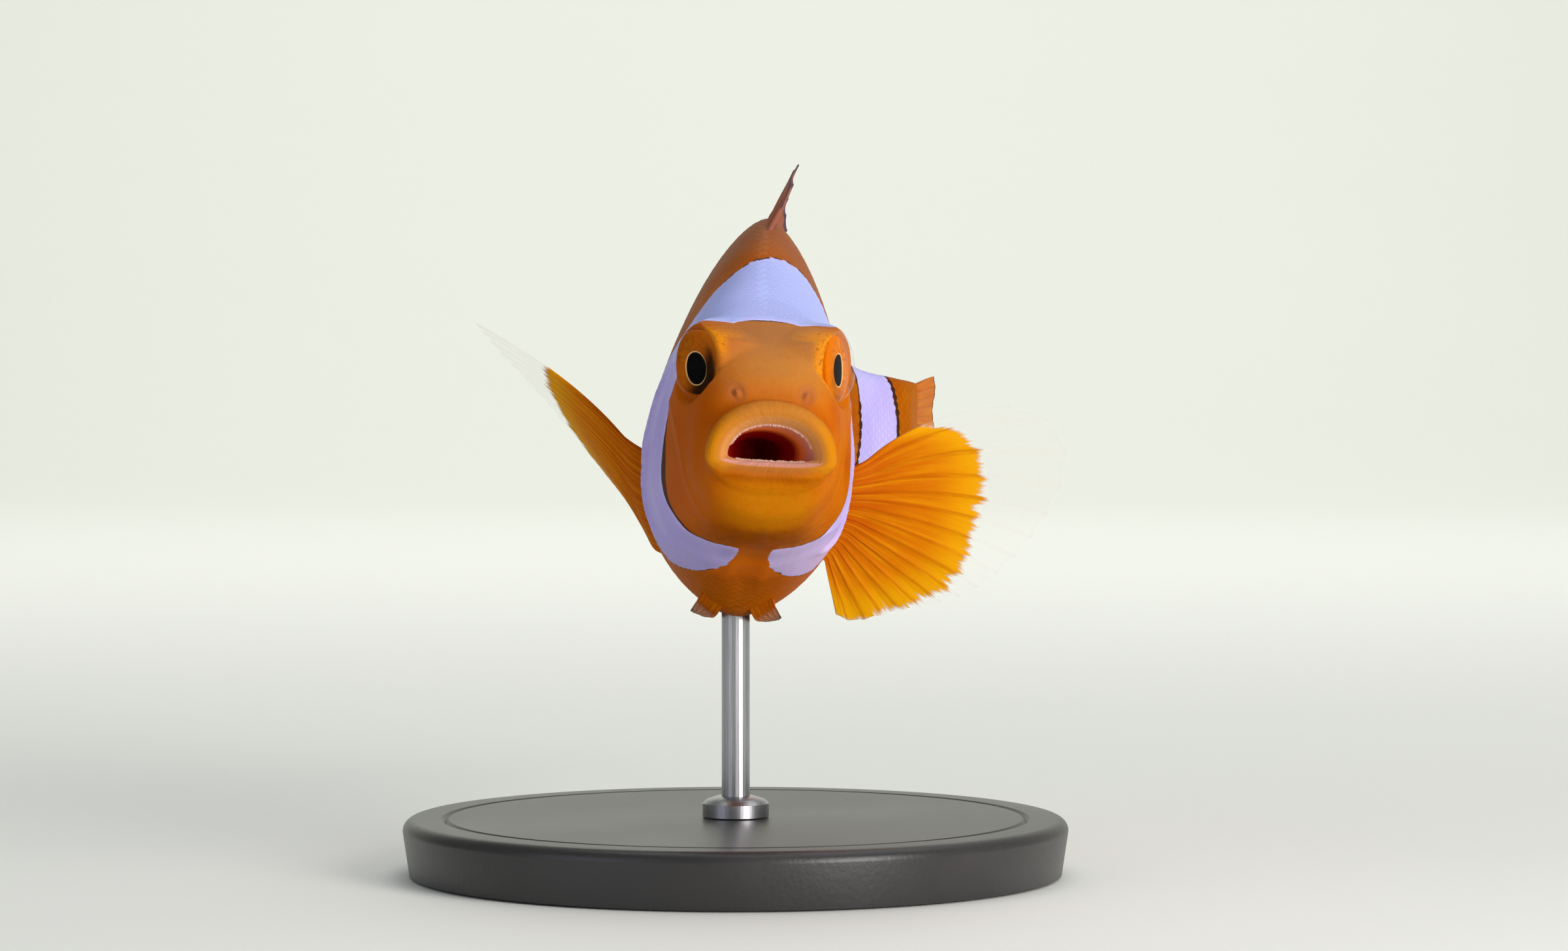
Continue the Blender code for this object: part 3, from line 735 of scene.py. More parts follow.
@dataclass(frozen=True)
class BodyFinish:
    """The colours of the skin and scales."""

    orange: Tint = Tint(198, 104, 1)
    deep: Tint = Tint(184, 84, 0)
    bright: Tint = Tint(188, 116, 6)
    tan: Tint = Tint(190, 128, 58)
    brown: Tint = Tint(156, 94, 62)
    crown: Tint = Tint(164, 104, 62)
    shadow: Tint = Tint(122, 56, 2)
    lip: Tint = Tint(188, 118, 42)
    lower_lip: Tint = Tint(170, 102, 40)
    lit_lip: Tint = Tint(202, 126, 2)
    inner_lip: Tint = Tint(206, 140, 76)
    gum: Tint = Tint(218, 160, 152)
    cheek: Tint = Tint(232, 118, 44)
    throat: Tint = Tint(132, 8, 6)
    white: Tint = Tint(216, 200, 254)
    white_shade: Tint = Tint(196, 180, 246)
    white_lit_throat: Tint = Tint(240, 214, 255)
    scale_rim: Tint = Tint(150, 138, 214)
    belly: Tint = Tint(226, 108, 2)
    brow_gold: Tint = Tint(236, 146, 4)
    fleck: Tint = Tint(84, 40, 8)
    nape: Tint = Tint(190, 200, 255)
    black: Tint = Tint(44, 30, 24)

    def paint(self, surface: Surface) -> Material:
        """Make the material of the skin or of the scales."""
        p = Paint("clownfish_" + surface.value)
        fish = p.attribute("Fish")
        _, left, up = p.parts(fish)
        depth, mouth, border = p.parts(p.attribute("Mark"))
        cloud, mottle, grain = p.noise(fish, 0.22, 3.0), p.noise(fish, 1.3, 3.0), p.noise(fish, 7.0)
        roll = p.eased(-up, 1.05, 1.35) * p.faded(abs(left), 2.6, 4.8) * p.eased(mouth, 7.8, 9.2)
        lipped = p.faded(mouth + 1.6 * roll + (mottle - 0.5) * 2.4, 10.6, 13.8)
        edge = depth + (mottle - 0.5) * 0.16 + (grain - 0.5) * 0.10
        dark = p.eased(edge + border, -0.07, 0.05) * p.eased(border, 0.02, 0.09)
        colour = p.layered(
            self.flesh(p, fish, cloud, mottle), (lipped, self.lips(p, fish, mouth, roll)),
            (dark * 0.92, self.black),
            (p.eased(edge, -0.04, 0.06), self.lilac(p, fish, depth, cloud, grain)))
        fold = p.noise(p.flat(left.turn_from(up - 0.5) * 5.5, mouth * 0.12), 1.0)
        folded = p.eased(mouth, 5.0, 7.0) * p.faded(mouth, 12.0, 14.0)
        height = grain * 0.5 + mottle * 0.5 + fold * folded * 2.2
        p.set(Base_Color=colour, Roughness=0.40 + 0.12 * mottle, Normal=p.bump(height, 0.00006))
        p.set(Subsurface_Weight=0.15, Subsurface_Scale=0.0007, Subsurface_Radius=(1.0, 0.42, 0.16))
        p.set(Specular_IOR_Level=0.025)
        return p.material

    def flesh(self, p: Paint, fish: Sock, cloud: Sock, mottle: Sock) -> Sock:
        """Mix the colours between the bands."""
        back, left, up = p.parts(fish)
        # First value: the nostrils' own tone, painted shade in their pits, and darker along the throat's
        # middle fold.
        stain_and_shade, shadow, _ = p.parts(p.attribute("Tone"))
        gold, _, _ = p.parts(p.attribute("Brow"))
        side = abs(left)
        chin = p.eased(-up, 1.0, 3.5) * p.faded(side, 2.5, 5.0) * p.faded(back, 3.0, 7.0)
        forehead = p.eased(up, 2.0, 6.5) * p.faded(side, 3.2, 5.6) * p.faded(back, 11.0, 14.0)
        crown = p.eased(up, 5.8, 8.2) * p.faded(back, 10.5, 12.5)
        ridge = p.eased(back, 15.0, 21.0) * p.eased(up, 3.0, 12.0)
        under = p.eased(-up, 6.5, 9.5) * p.eased(back, 7.0, 10.0) * p.faded(back, 28.0, 40.0)
        # Painted shade: the orange deepens on the head's right side, away from the key light.
        shaded_side = p.eased(-left, 0.0, 7.0) * p.faded(back, 12.0, 16.0)
        flecks = p.eased(p.noise(fish, 3.4, 4.0), 0.50, 0.72)
        return p.layered(
            self.orange, (p.eased(cloud, 0.35, 0.7), self.deep), (chin * 0.8, self.bright),
            (forehead * (0.55 + 0.5 * mottle), self.tan), (crown * 0.55, self.crown),
            (ridge * 0.85, self.brown), (p.eased(mottle, 0.5, 0.75) * 0.25, self.deep),
            (under * 0.75, self.belly), (shaded_side * 0.8, self.deep), (stain_and_shade * 0.6, self.brown),
            (shadow * (0.5 + 0.8 * mottle), self.shadow), (gold * 0.65, self.brow_gold),
            (gold * flecks * 0.6, self.fleck))

    def lips(self, p: Paint, fish: Sock, mouth: Sock, roll: Sock) -> Sock:
        """Mix the colours from the throat out over the lips."""
        _, left, up = p.parts(fish)
        stops = ((0.00, self.throat), (0.165, self.throat), (0.20, self.cheek), (0.285, self.gum),
                 (0.36, self.inner_lip), (0.47, self.inner_lip), (0.53, self.lip), (0.74, self.lip),
                 (0.80, self.orange))
        pale = p.eased(-up, 0.70, 0.90) * p.eased(mouth, 4.5, 5.5) * p.faded(mouth, 7.6, 8.8)
        lit = p.eased(abs(left), 2.0, 4.5) * p.eased(mouth, 8.0, 9.5)
        return p.layered(p.ramp(mouth / OUT_OF_MOUTH, stops), (pale * 0.8, self.gum), (roll, self.lower_lip),
                         (lit * 0.85, self.lit_lip))

    def lilac(self, p: Paint, fish: Sock, depth: Sock, cloud: Sock, grain: Sock) -> Sock:
        """Mix the colours of the white bands."""
        _, left, up = p.parts(fish)
        _, _, rimmed = p.parts(p.attribute("Tone"))
        return p.layered(
            self.white, (p.eased(cloud, 0.3, 0.65) * 0.7 + grain * 0.2, self.white_shade),
            (p.eased(up, 3.0, 9.0), self.nape),
            # Painted light: the throat band is brighter on the fish's left, the side that the key and low
            # lights reach.
            (p.eased(-up, 5.0, 8.5) * p.eased(left, 0.0, 2.5), self.white_lit_throat),
            (p.faded(depth, 0.1, 0.45) * 0.5, self.white), (rimmed * 0.8, self.scale_rim))


@dataclass(frozen=True)
class FinFinish:
    """The colours of a fin, and where they lie.

    Margin is the width of the dark edge in millimetres, below 0 for none. The bands
    start band_start inside their outlines. A clear edge has clear_alpha on its rays.
    """

    name: str
    orange: Tint = Tint(206, 106, 2)
    root: Tint = Tint(190, 86, 2)
    yellow: Tint = Tint(222, 148, 6)
    ray: Tint = Tint(170, 76, 1)
    clear: Tint = Tint(226, 214, 204)
    black: Tint = Tint(36, 26, 24)
    white: Tint = Tint(206, 206, 246)
    margin: float = 0.8
    band_start: float = 0.0
    clear_alpha: float = 0.20

    def paint(self) -> Material:
        """Make the fin's material."""
        p = Paint(self.name)
        share, ray, pigment = p.parts(p.attribute("Fin"))
        depth, border, edge = p.parts(p.attribute("Mark"))
        mottle = p.noise(p.attribute("Fish"), 1.1, 3.0)
        streaks = p.noise(p.flat(ray * 2.6, share * 1.6), 1.0, 3.0, 0.6)
        fine = p.noise(p.flat(ray * 9.0, share * 5.0), 1.0, 2.0, 0.6)
        line = p.faded(abs(ray - ray.rounded()), 0.03, 0.16)
        ragged = pigment + (streaks - 0.5) * 2.2 + (fine - 0.5) * 1.0
        solid = p.eased(ragged, -0.25, 0.35)
        dark = p.faded(edge + (streaks - 0.5) * 0.5, self.margin - 0.15, self.margin + 0.15)
        band = depth - self.band_start + (mottle - 0.5) * 0.3
        colour = p.layered(
            self.root, (p.eased(share, 0.05, 0.5), self.orange),
            (p.eased(streaks, 0.4, 0.75) * 0.5, self.yellow),
            (p.faded(ragged, 0.2, 3.4) * 0.85, self.yellow),
            (line * 0.45 * p.eased(fine, 0.2, 0.6), self.ray), (dark, self.black),
            (p.eased(band + border, -0.1, 0.1) * (1.0 - dark) * 0.9, self.black),
            (p.eased(band, -0.05, 0.1) * (1.0 - dark), self.white))
        clear = self.clear_alpha * (0.35 + 0.65 * line + 0.3 * fine)
        p.set(Base_Color=p.layered(self.clear, (solid, colour)), Alpha=clear + (1.0 - clear) * solid)
        p.set(Roughness=0.42 + 0.1 * mottle, Normal=p.bump(fine * 0.6 + line * 0.4, 0.00005))
        p.set(Subsurface_Weight=0.15, Subsurface_Scale=0.0006, Subsurface_Radius=(1.0, 0.5, 0.1))
        p.set(Specular_IOR_Level=0.025)
        return p.material


@dataclass(frozen=True)
class IrisFinish:
    """The colours of an eye.

    Shade is how much the iris darkens towards the snout and downwards, and its depth.
    """

    shade: Way
    orange: Tint = Tint(206, 98, 4)
    skin: Tint = Tint(192, 96, 2)
    olive: Tint = Tint(104, 54, 6)
    gold: Tint = Tint(216, 138, 14)
    ring: Tint = Tint(234, 196, 130)
    dark: Tint = Tint(26, 13, 5)
    pupil: tuple[float, ...] = (0.0012, 0.001, 0.001, 1.0)
    pupil_radius: float = 1.16

    def paint(self, name: str) -> Material:
        """Make the iris and pupil's material."""
        p = Paint(name)
        place = p.attribute("Iris")
        x, y, _ = p.parts(place)
        radius = (x * x * (1.0 + 0.12 * p.eased(abs(x), 0.0, 1.2)) + y * y * 0.94) ** 0.5
        speck = p.noise(place, 3.2, 4.0, 0.65)
        streak = p.noise(p.flat(y.turn_from(x) * 5.0, radius * 0.8), 1.0, 3.0, 0.6)
        brown = p.eased(speck * 0.7 + streak * 0.5, 0.50, 0.85)
        shaded = p.eased(x * self.shade[0] - y * self.shade[1], -0.5, 1.3) * p.faded(radius, 2.1, 3.0)
        hole = self.pupil_radius
        line = p.faded(abs(radius - hole - 0.05), 0.02, 0.06)
        colour = p.layered(
            self.orange, (brown * 0.85, self.olive), (p.eased(streak, 0.5, 0.8) * 0.5, self.gold),
            (shaded * self.shade[2], self.dark), (p.eased(radius, 2.1, 2.8) * 0.8, self.skin),
            (line * 0.9, self.ring), (p.faded(radius, hole - 0.03, hole + 0.02), self.pupil))
        rough = p.bump(speck * p.eased(radius, hole, hole + 0.2), 0.00005)
        p.set(Base_Color=colour, Roughness=0.4 + 0.2 * speck, Normal=rough, Specular_IOR_Level=0.0)
        return p.material


def paint_cornea() -> Material:
    """Make the clear front of an eye, which shows most where it turns away: there its pale grey is a painted
    reflection, over its real gloss.
    """
    p = Paint("cornea")
    facing = p.node("ShaderNodeLayerWeight", feeds={0: 0.5}, output=1)
    p.set(Base_Color=(0.55, 0.52, 0.5, 1.0), Roughness=0.04, Alpha=0.004 + 0.9 * facing ** 8.0)
    p.set(IOR=1.36, Specular_IOR_Level=0.40)
    return p.material


def paint_teeth() -> Material:
    """Make the teeth's material."""
    p = Paint("teeth")
    mottle = p.noise(p.place(), 900.0)
    colour = p.layered(Tint(220, 176, 160), (mottle, Tint(206, 146, 120)))
    p.set(Base_Color=colour, Roughness=0.3 + 0.1 * mottle)
    p.set(Subsurface_Weight=0.3, Subsurface_Scale=0.0004)
    return p.material


@dataclass(frozen=True)
class StandFinish:
    """The stand's black base and steel rod."""

    black: Tint = Tint(40, 39, 39)
    worn: Tint = Tint(58, 56, 55)
    steel: Tint = Tint(196, 196, 198)
    brushed: Tint = Tint(150, 150, 152)

    def paint_base(self) -> Material:
        """Make the satin black of the base."""
        p = Paint("stand_black")
        grain, cloud = p.noise(p.place(), 2600.0, 3.0), p.noise(p.place(), 60.0, 3.0)
        colour = p.layered(self.black, (p.eased(cloud, 0.4, 0.8), self.worn))
        p.set(Base_Color=colour, Roughness=0.30 + 0.12 * cloud, Normal=p.bump(grain, 0.00002))
        return p.material

    def paint_rod(self) -> Material:
        """Make the brushed steel of the rod."""
        p = Paint("stand_steel")
        brush = p.noise(p.place().scaled((9000.0, 9000.0, 300.0)), 1.0, 3.0)
        p.set(Base_Color=p.layered(self.steel, (brush, self.brushed)), Metallic=1.0)
        p.set(Roughness=0.24 + 0.16 * brush, Normal=p.bump(brush, 0.000008))
        return p.material


# ---- the skin


@dataclass(frozen=True)
class Relief:
    """The raised and sunken places of the head, in millimetres."""

    nostril: tuple[float, float] = (2.62, 4.15)
    nostril_pit: float = 0.17
    nostril_rim: float = 0.36
    gill_cover: Table = (
        (12.2, 4.6), (14.5, 5.6), (17.0, 5.2), (19.2, 3.2), (20.0, 0.0),
        (19.6, -3.4), (18.0, -6.2), (15.5, -7.6), (13.0, -7.0), (11.6, -4.0), (11.3, 0.5),
    )
    cheek_plate: Table = (
        (9.6, 2.2), (12.6, 3.4), (14.2, 1.0), (14.1, -2.6), (12.6, -5.4), (9.4, -6.6), (6.4, -5.6),
        (7.0, -1.5),
    )
    jaw_edge: Table = ((-14.0, 2.4), (-7.0, 3.2), (-4.0, 4.1), (-1.5, 4.35), (0.0, 4.4))
    coat: float = 0.13

    def rise(self, places: Array) -> Array:
        """Return how far the skin stands out from the plain form."""
        back, left, up = np.moveaxis(places, -1, 0)
        side = np.abs(left)
        rise = self.nostrils(back, side, up) - self.coat * eased(back, 12.0, 14.0)
        cover = outline_distance(rounded_outline(self.gill_cover, 5), back, up)
        free = eased(back, 12.5, 15.5) * eased(side, 2.0, 4.0)
        rise += free * (0.20 * eased(cover, -0.05, 0.5) - 0.16 * hump(cover, -0.12, 0.22))
        plate = outline_distance(rounded_outline(self.cheek_plate, 5), back, up)
        cheek = faded(up, 3.0, 5.5) * eased(side, 3.0, 4.5)
        rise += cheek * (0.10 * eased(plate, -0.3, 0.9) - 0.05 * hump(plate, -0.1, 0.3))
        return rise + self.muzzle(back, left, up) + self.throat(back, side, up)

    def nostrils(self, back: Array, side: Array, up: Array) -> Array:
        """Return the rise of the nostrils' rims and pits."""
        apart = np.hypot(side - self.nostril[0], up - self.nostril[1])
        rim = 0.13 * hump(apart, self.nostril_rim, 0.15) - 0.30 * hump(apart, 0.0, self.nostril_pit)
        return faded(back, 7.0, 8.0) * rim

    def muzzle(self, back: Array, left: Array, up: Array) -> Array:
        """Return the rise of the muzzle round the lips, and the fold under the lower lip."""
        side = np.abs(left)
        groove = 0.03 * eased(back, 1.2, 2.0) * faded(back, 3.5, 6.0)
        groove = groove * hump(np.hypot(side / 1.1, up - 0.4), 4.9, 0.7)
        around = np.hypot(side / 1.3, up - 0.2) - 3.7
        raised = 0.38 * eased(back, 1.4, 1.8) * faded(around, -0.1, 1.7) * faded(back, 3.0, 5.2)
        under = up + 1.94 + 0.02 * left - 0.012 * side ** 2
        fold = 0.07 * faded(back, 1.3, 2.4) * hump(under, 0.0, 0.20) * faded(side, 2.4, 4.2)
        return raised - groove - fold

    def throat(self, back: Array, side: Array, up: Array) -> Array:
        """Return the rise of the throat's folds and of the grooves beside the jaw."""
        jaw = eased(-up, 1.5, 2.5) * hump(side - read_row(self.jaw_edge, up), 0.0, 0.5)
        rise = -0.04 * jaw * faded(back, 8.0, 11.0) * eased(back, 0.4, 1.2)
        folds = 0.08 * hump(side, 0.0, 0.9) - 0.10 * hump(side, 1.35, 0.5)
        for k in range(3):
            folds = folds - 0.03 * hump(side, 2.2 + 0.7 * k, 0.18)
        return rise + folds * eased(back, 7.0, 9.0) * faded(back, 17.0, 20.0) * eased(-up, 5.0, 6.5)

    def stain_and_shade(self, places: Array) -> Array:
        """Return how dark the skin is: its own tone round the nostrils, painted shade in their pits, and
        darker along the throat's middle fold.
        """
        back, left, up = np.moveaxis(places, -1, 0)
        apart = np.hypot(np.abs(left) - self.nostril[0], up - self.nostril[1])
        ring = 0.55 * faded(apart, 0.65, 0.95) + 0.6 * hump(apart, 0.0, 0.2)
        fold = 0.7 * hump(np.hypot(left - 0.3, (up + 6.5) / 3.0), 0.0, 0.35) * eased(back, 4.0, 6.0)
        return faded(back, 7.0, 8.0) * ring + fold

    def brow(self, places: Array, past_eye: Array) -> Array:
        """Return how golden the skin is at the inner side of each eye."""
        back, left, up = np.moveaxis(places, -1, 0)
        side = np.abs(left)
        inner = eased(side, 3.0, 3.5) * faded(side, 4.4, 5.2) * faded(past_eye, 3.0, 3.6)
        inner = inner * faded(back, 9.5, 10.5) * eased(up, 3.2, 4.6)
        return np.where(left > 0.0, inner, inner * eased(up, 6.0, 7.4))

    def shadow(self, places: Array) -> Array:
        """Return how dark the skin is under the chin and under the lower lip."""
        back, left, up = np.moveaxis(places, -1, 0)
        side = np.abs(left)
        under = 0.8 * hump(up, -6.6, 1.2) * faded(side, 2.0, 6.5) * eased(back, 3.5, 5.5)
        lip = 0.35 * hump(up, -2.1, 0.3) * faded(side, 2.5, 4.5) * faded(back, 2.0, 3.0)
        return under + lip


@dataclass
class Skin:
    """One closed skin from the throat over the lips and along the body to the tail.

    Stretches are runs of rows along the body: from, to and apart.
    """

    spine: Spine
    bands: Bands
    eye: EyeForm
    relief: Relief = Relief()
    around: int = 256
    mouth_steps: int = 104
    stretches: Table = ((1.8, 12.0, 0.13), (12.0, 22.0, 0.2), (22.0, 63.5, 0.45), (63.5, 67.2, 0.3))
    throat_shift: float = 0.7

    def rows(self) -> tuple[Array, Array]:
        """Return the skin's rows and how far each is out of the mouth.

        Returns:
            Rows of both distances back, slope, and the section's eight numbers, and
            the place of each row among MOUTH_ROWS.
        """
        keys = [row[:2] + (MOUTH_SLOPE,) + row[2:] for row in MOUTH_ROWS]
        keys += [(row[0], row[0], 0.0) + row[1:] for row in BODY_ROWS[:2]]
        table = np.array(keys)
        steps = np.linalg.norm(np.diff(table[:, (0, 3, 6)], axis=0), axis=1)
        run = np.concatenate(((0.0,), np.cumsum(steps)))
        lengths = np.linspace(0.0, run[-2], self.mouth_steps)[:-1]
        mouth = read_rows(tuple(map(tuple, np.column_stack((run, table)))), lengths)
        count = np.interp(lengths, run, np.arange(len(run)))
        end = self.stretches[-1][1]
        places = np.concatenate([np.arange(*stretch) for stretch in self.stretches] + [(end,)])
        body = read_rows(BODY_ROWS + TAIL_ROWS, places)
        body = np.column_stack((places, places, np.zeros(len(places)), body))
        beyond = len(MOUTH_ROWS) + np.minimum(places - places[0], 2.0)
        return np.vstack((mouth, body)), np.concatenate((count, beyond))

    def places(self) -> tuple[Array, Array]:
        """Return the skin's grid in the fish's coordinates, and each row's place."""
        rows, count = self.rows()
        left, up = ring_points(rows[:, 3:], self.around)
        top, bottom, waist = (rows[:, k, None] for k in (3, 4, 5))
        share = np.where(up >= waist, (up - waist) / (top - waist), (up - waist) / (waist - bottom))
        back = blend(rows[:, 1, None], rows[:, 0, None], eased(share, -0.75, 0.25))
        back = back - rows[:, 2, None] * up
        left = left - self.throat_shift * faded(count, 1.5, 4.5)[:, None]
        grid = np.stack((back, left, up), -1)
        grid += grid_normals(grid) * self.relief.rise(grid)[..., None]
        for side in (1, -1):
            grid = self.open_eye(grid, side)
        return grid, count

    def open_eye(self, grid: Array, side: int) -> Array:
        """Sink the skin behind an eye and raise it in a rim round it."""
        eye = self.eye
        gaze = eye.gaze(side, eye.rim_yaw, 0.0)
        ahead = np.array((-side * gaze[1], side * gaze[0], 0.0))
        apart = grid - (eye.place(side) + ahead * eye.offset[0] + np.array((0.0, 0.0, eye.offset[1])))
        height = apart @ gaze
        across = apart - height[..., None] * gaze
        radius = np.linalg.norm(across, axis=-1)
        rim = eye.disc_radius + eye.rim_width
        near = (radius < rim + eye.skirt) & (height > -1.6)
        crest = eye.disc_height + eye.rim_rise
        bowl = crest - eye.bowl_depth * faded(radius, eye.disc_radius - 0.8, eye.disc_radius - 0.12)
        above = np.clip(across[..., 2] / np.maximum(radius, 0.1), -1.0, 1.0)
        steep = blend(*eye.steepness, eased(above, -0.6, 0.9))
        slope = crest - steep * np.maximum(radius - rim, 0.0) ** 1.6
        wall = np.where(radius < rim, bowl, slope)
        over = np.clip((height - wall) / eye.softness, -60.0, 60.0)
        raised = wall + eye.softness * np.logaddexp(0.0, over)
        raised = np.minimum(raised, np.maximum(wall, height) + 0.10)
        lowered = blend(wall, raised, eased(radius, rim - 0.1, rim + 0.35))
        fall = faded(radius, rim + eye.skirt - 0.5, rim + eye.skirt)
        change = np.where(near, lowered - height, 0.0) * fall
        return grid + change[..., None] * gaze

    def build(self) -> tuple[Object, "SkinSheet"]:
        """Build the skin, and return it with the grid that the scales lie on."""
        grid, count = self.places()
        rows, around = grid.shape[:2]
        obj, column, row = add_grid("skin", around + 1, rows + 2)
        throat, tail = (np.tile(grid[k].mean(axis=0), (1, around, 1)) for k in (0, -1))
        closed = np.concatenate((throat, grid, tail))
        count = np.concatenate((count[:1], count, count[-1:]))
        spots = closed[row, column % around]
        place_vertices(obj.data, self.spine.world(spots))
        store(obj.data, "Fish", spots)
        store(obj.data, "Mark", self.bands.depth(spots), count[row], self.bands.border(spots))
        store(obj.data, "Tone", self.relief.stain_and_shade(spots), self.relief.shadow(spots), np.zeros(len(spots)))
        gold = self.relief.brow(spots, self.bands.past_eye(spots))
        store(obj.data, "Brow", gold, gold, gold)
        weld(obj)
        shade_closed(obj)
        return obj, SkinSheet(grid[self.mouth_steps - 1:])


@dataclass
class SkinSheet:
    """The body's part of the skin as a sheet: distance back by distance round a side."""

    grid: Array
    step: float = 0.12
    reach: float = 38.0
    spare: int = 10

    def side(self, side: int) -> tuple[Array, Array, Array, Array]:
        """Spread one side of the body out from its widest line.

        Args:
            side: 1 for the left side, -1 for the right one.

        Returns:
            The rows' distance back, the sheet, and how far up and down each row goes.
        """
        around = self.grid.shape[1]
        quarter = around // 4
        order = np.arange(-quarter - self.spare, quarter + self.spare + 1)
        if side < 0:
            order = 2 * quarter - order
        strip = self.grid[:, order % around]
        steps = np.linalg.norm(np.diff(strip, axis=1), axis=2)
        length = np.concatenate((np.zeros((len(strip), 1)), np.cumsum(steps, axis=1)), axis=1)
        middle = quarter + self.spare
        length = length - length[:, middle:middle + 1]
        wanted = np.arange(-self.reach, self.reach, self.step)
        sheet = np.array([[np.interp(wanted, run, way) for way in row.T] for run, row in zip(length, strip)])
        sheet = sheet.swapaxes(1, 2)
        return strip[:, middle, 0], sheet, length[:, -1 - self.spare], -length[:, self.spare]


# ---- scales


@dataclass
class ScaleCoat:
    """The overlapping scales of the body, each a thin plate rooted in front.

    Pitch and spacing are the gaps round the body and along it, for a scale of size 1.
    """

    spine: Spine
    bands: Bands
    sheet: SkinSheet
    pitch: float = 1.20
    spacing: float = 0.84
    length: float = 1.75
    width: float = 1.44
    plate: float = 0.07
    lift: float = 0.15
    crown: float = 0.34
    sizes: Table = ((9.0, 0.34), (14.0, 0.38), (20.0, 0.55), (27.0, 0.95), (45.0, 0.9), (66.0, 0.45))
    cuts: tuple[float, ...] = (0.0, 16.5, 31.0, 70.0)
    extent: tuple[float, float] = (9.2, 66.5)
    bare_cheek: float = 16.0
    last: float = 66.2
    eye_clear: float = 3.1
    unevenness: float = 0.06
    skew: float = 0.05

    def plate_shape(self) -> tuple[Array, list[tuple[int, ...]]]:
        """Model one scale: along, across and out, with its rear edge rounded."""
        obj, _, _ = add_grid("scale_shape", 5, 3)
        flat = coordinates(obj.data)
        across = flat[:, 0]
        along = (flat[:, 1] + 1.0) / 2.0
        along = along * (1.0 - self.crown * across ** 2 * along)
        narrow = 1.0 - 0.30 * (1.0 - along) ** 2
        place_vertices(obj.data, np.column_stack((along, across * narrow, -0.25 * across ** 2)))
        thicken = obj.modifiers.new("plate", "SOLIDIFY")
        thicken.thickness = 0.6
        thicken.offset = -1.0
        apply_modifiers(obj)
        return mesh_arrays(obj)

    def roots(self, places: Array, high: Array, low: Array, side: int) -> Array:
        """Return the scales' roots: distance back, distance round, size, and 1 on a midline.

        Those on the midlines of the back and belly belong to the left side.
        """
        made = []
        back, last = self.extent
        row = 0
        while back < last:
            size = float(np.interp(back, *zip(*self.sizes)))
            top = float(np.interp(back, places, high))
            bottom = float(np.interp(back, places, low))
            count = round((top - bottom) / (self.pitch * size))
            half = 0.5 * (row % 2)
            for n in range(count + 1 - row % 2):
                spot = bottom + (n + half) * (top - bottom) / count
                if side > 0 or bottom + 0.05 < spot < top - 0.05:
                    made.append((back, spot, size, float(n in (0, count) and row % 2 == 0)))
            back += self.spacing * size
            row += 1
        return np.array(made)

    def build(self, material: Material) -> None:
        """Build the coat, in three pieces for each side."""
        shape, faces = self.plate_shape()
        rng = np.random.default_rng(11)
        rim = 0.40 * eased(shape[:, 0] + self.crown * shape[:, 1] ** 2, 0.70, 0.95)
        for side, name in ((1, "left"), (-1, "right")):
            places, sheet, high, low = self.sheet.side(side)
            roots = self.roots(places, high, -low, side)
            start = self.sample(places, sheet, roots[:, 0], roots[:, 1])
            kept = (self.bands.depth(start) > 0.12) | (start[:, 0] > self.bare_cheek)
            kept &= (start[:, 0] < self.last) & (self.bands.past_eye(start) > self.eye_clear)
            roots, start = roots[kept], start[kept]
            size = roots[:, 2:3]
            jitter = rng.uniform(-1.0, 1.0, (len(roots), 3))
            along = shape[None, :, 0] * self.length * size * (1 + self.unevenness * jitter[:, :1])
            across = shape[None, :, 1] * self.width / 2 * size * (1 + self.unevenness * jitter[:, 1:2])
            turn = self.skew * jitter[:, 2:3]
            back = roots[:, :1] + along - across * turn
            spot = roots[:, 1:2] + across + along * turn
            rise = np.maximum(shape[None, :, 0], 0.0) ** 1.5
            settled = 0.35 + 0.65 * eased(start[:, :1], 16.0, 22.0)
            lift = 0.04 + self.lift * rise * size + 0.03 * (roots[:, 1:2] > 1.0) * (roots[:, 3:4] > 0.5)
            out = (shape[None, :, 2] * self.plate + lift) * size * settled
            base = self.sample(places, sheet, back, spot)
            points = base + self.sample(places, self.outward(sheet), back, spot) * out[..., None]
            own = np.repeat(start[:, None], shape.shape[0], axis=1)
            for k, (fore, aft) in enumerate(zip(self.cuts, self.cuts[1:])):
                chosen = (start[:, 0] >= fore) & (start[:, 0] < aft)
                obj = join_copies(f"scales_{name}_{k + 1}", self.spine.world(points[chosen]), faces)
                marking = self.bands.depth(blend(own, base, 0.55))[chosen].reshape(-1)
                tone = np.tile(rim, chosen.sum())
                store(obj.data, "Fish", own[chosen].reshape(-1, 3))
                store(obj.data, "Mark", marking, np.full(marking.shape, OUT_OF_MOUTH),
                      self.bands.border(own[chosen]).reshape(-1))
                store(obj.data, "Tone", np.zeros(len(tone)), tone, tone)
                self.unwrap(obj, roots[chosen], shape, side)
                shade_crisp(obj, 50.0)
                dress(obj, material, "skin_orange")

    def outward(self, sheet: Array) -> Array:
        """Return the sheet's outward normals."""
        along = np.gradient(sheet, axis=0)
        around = np.gradient(sheet, axis=1)
        normals = unit(np.cross(around, along))
        away = sheet * np.array((0.0, 1.0, 1.0))
        return normals * np.sign((normals * away).sum(-1).mean())

    def sample(self, places: Array, sheet: Array, back: Array, spot: Array) -> Array:
        """Read the sheet between its points."""
        row = np.clip(np.interp(back, places, np.arange(len(places))), 0, len(places) - 1.001)
        column = np.clip((spot + self.sheet.reach) / self.sheet.step, 0, sheet.shape[1] - 1.001)
        i, j = row.astype(int), column.astype(int)
        u, v = (row - i)[..., None], (column - j)[..., None]
        near = blend(sheet[i, j], sheet[i, j + 1], v)
        far = blend(sheet[i + 1, j], sheet[i + 1, j + 1], v)
        return blend(near, far, u)

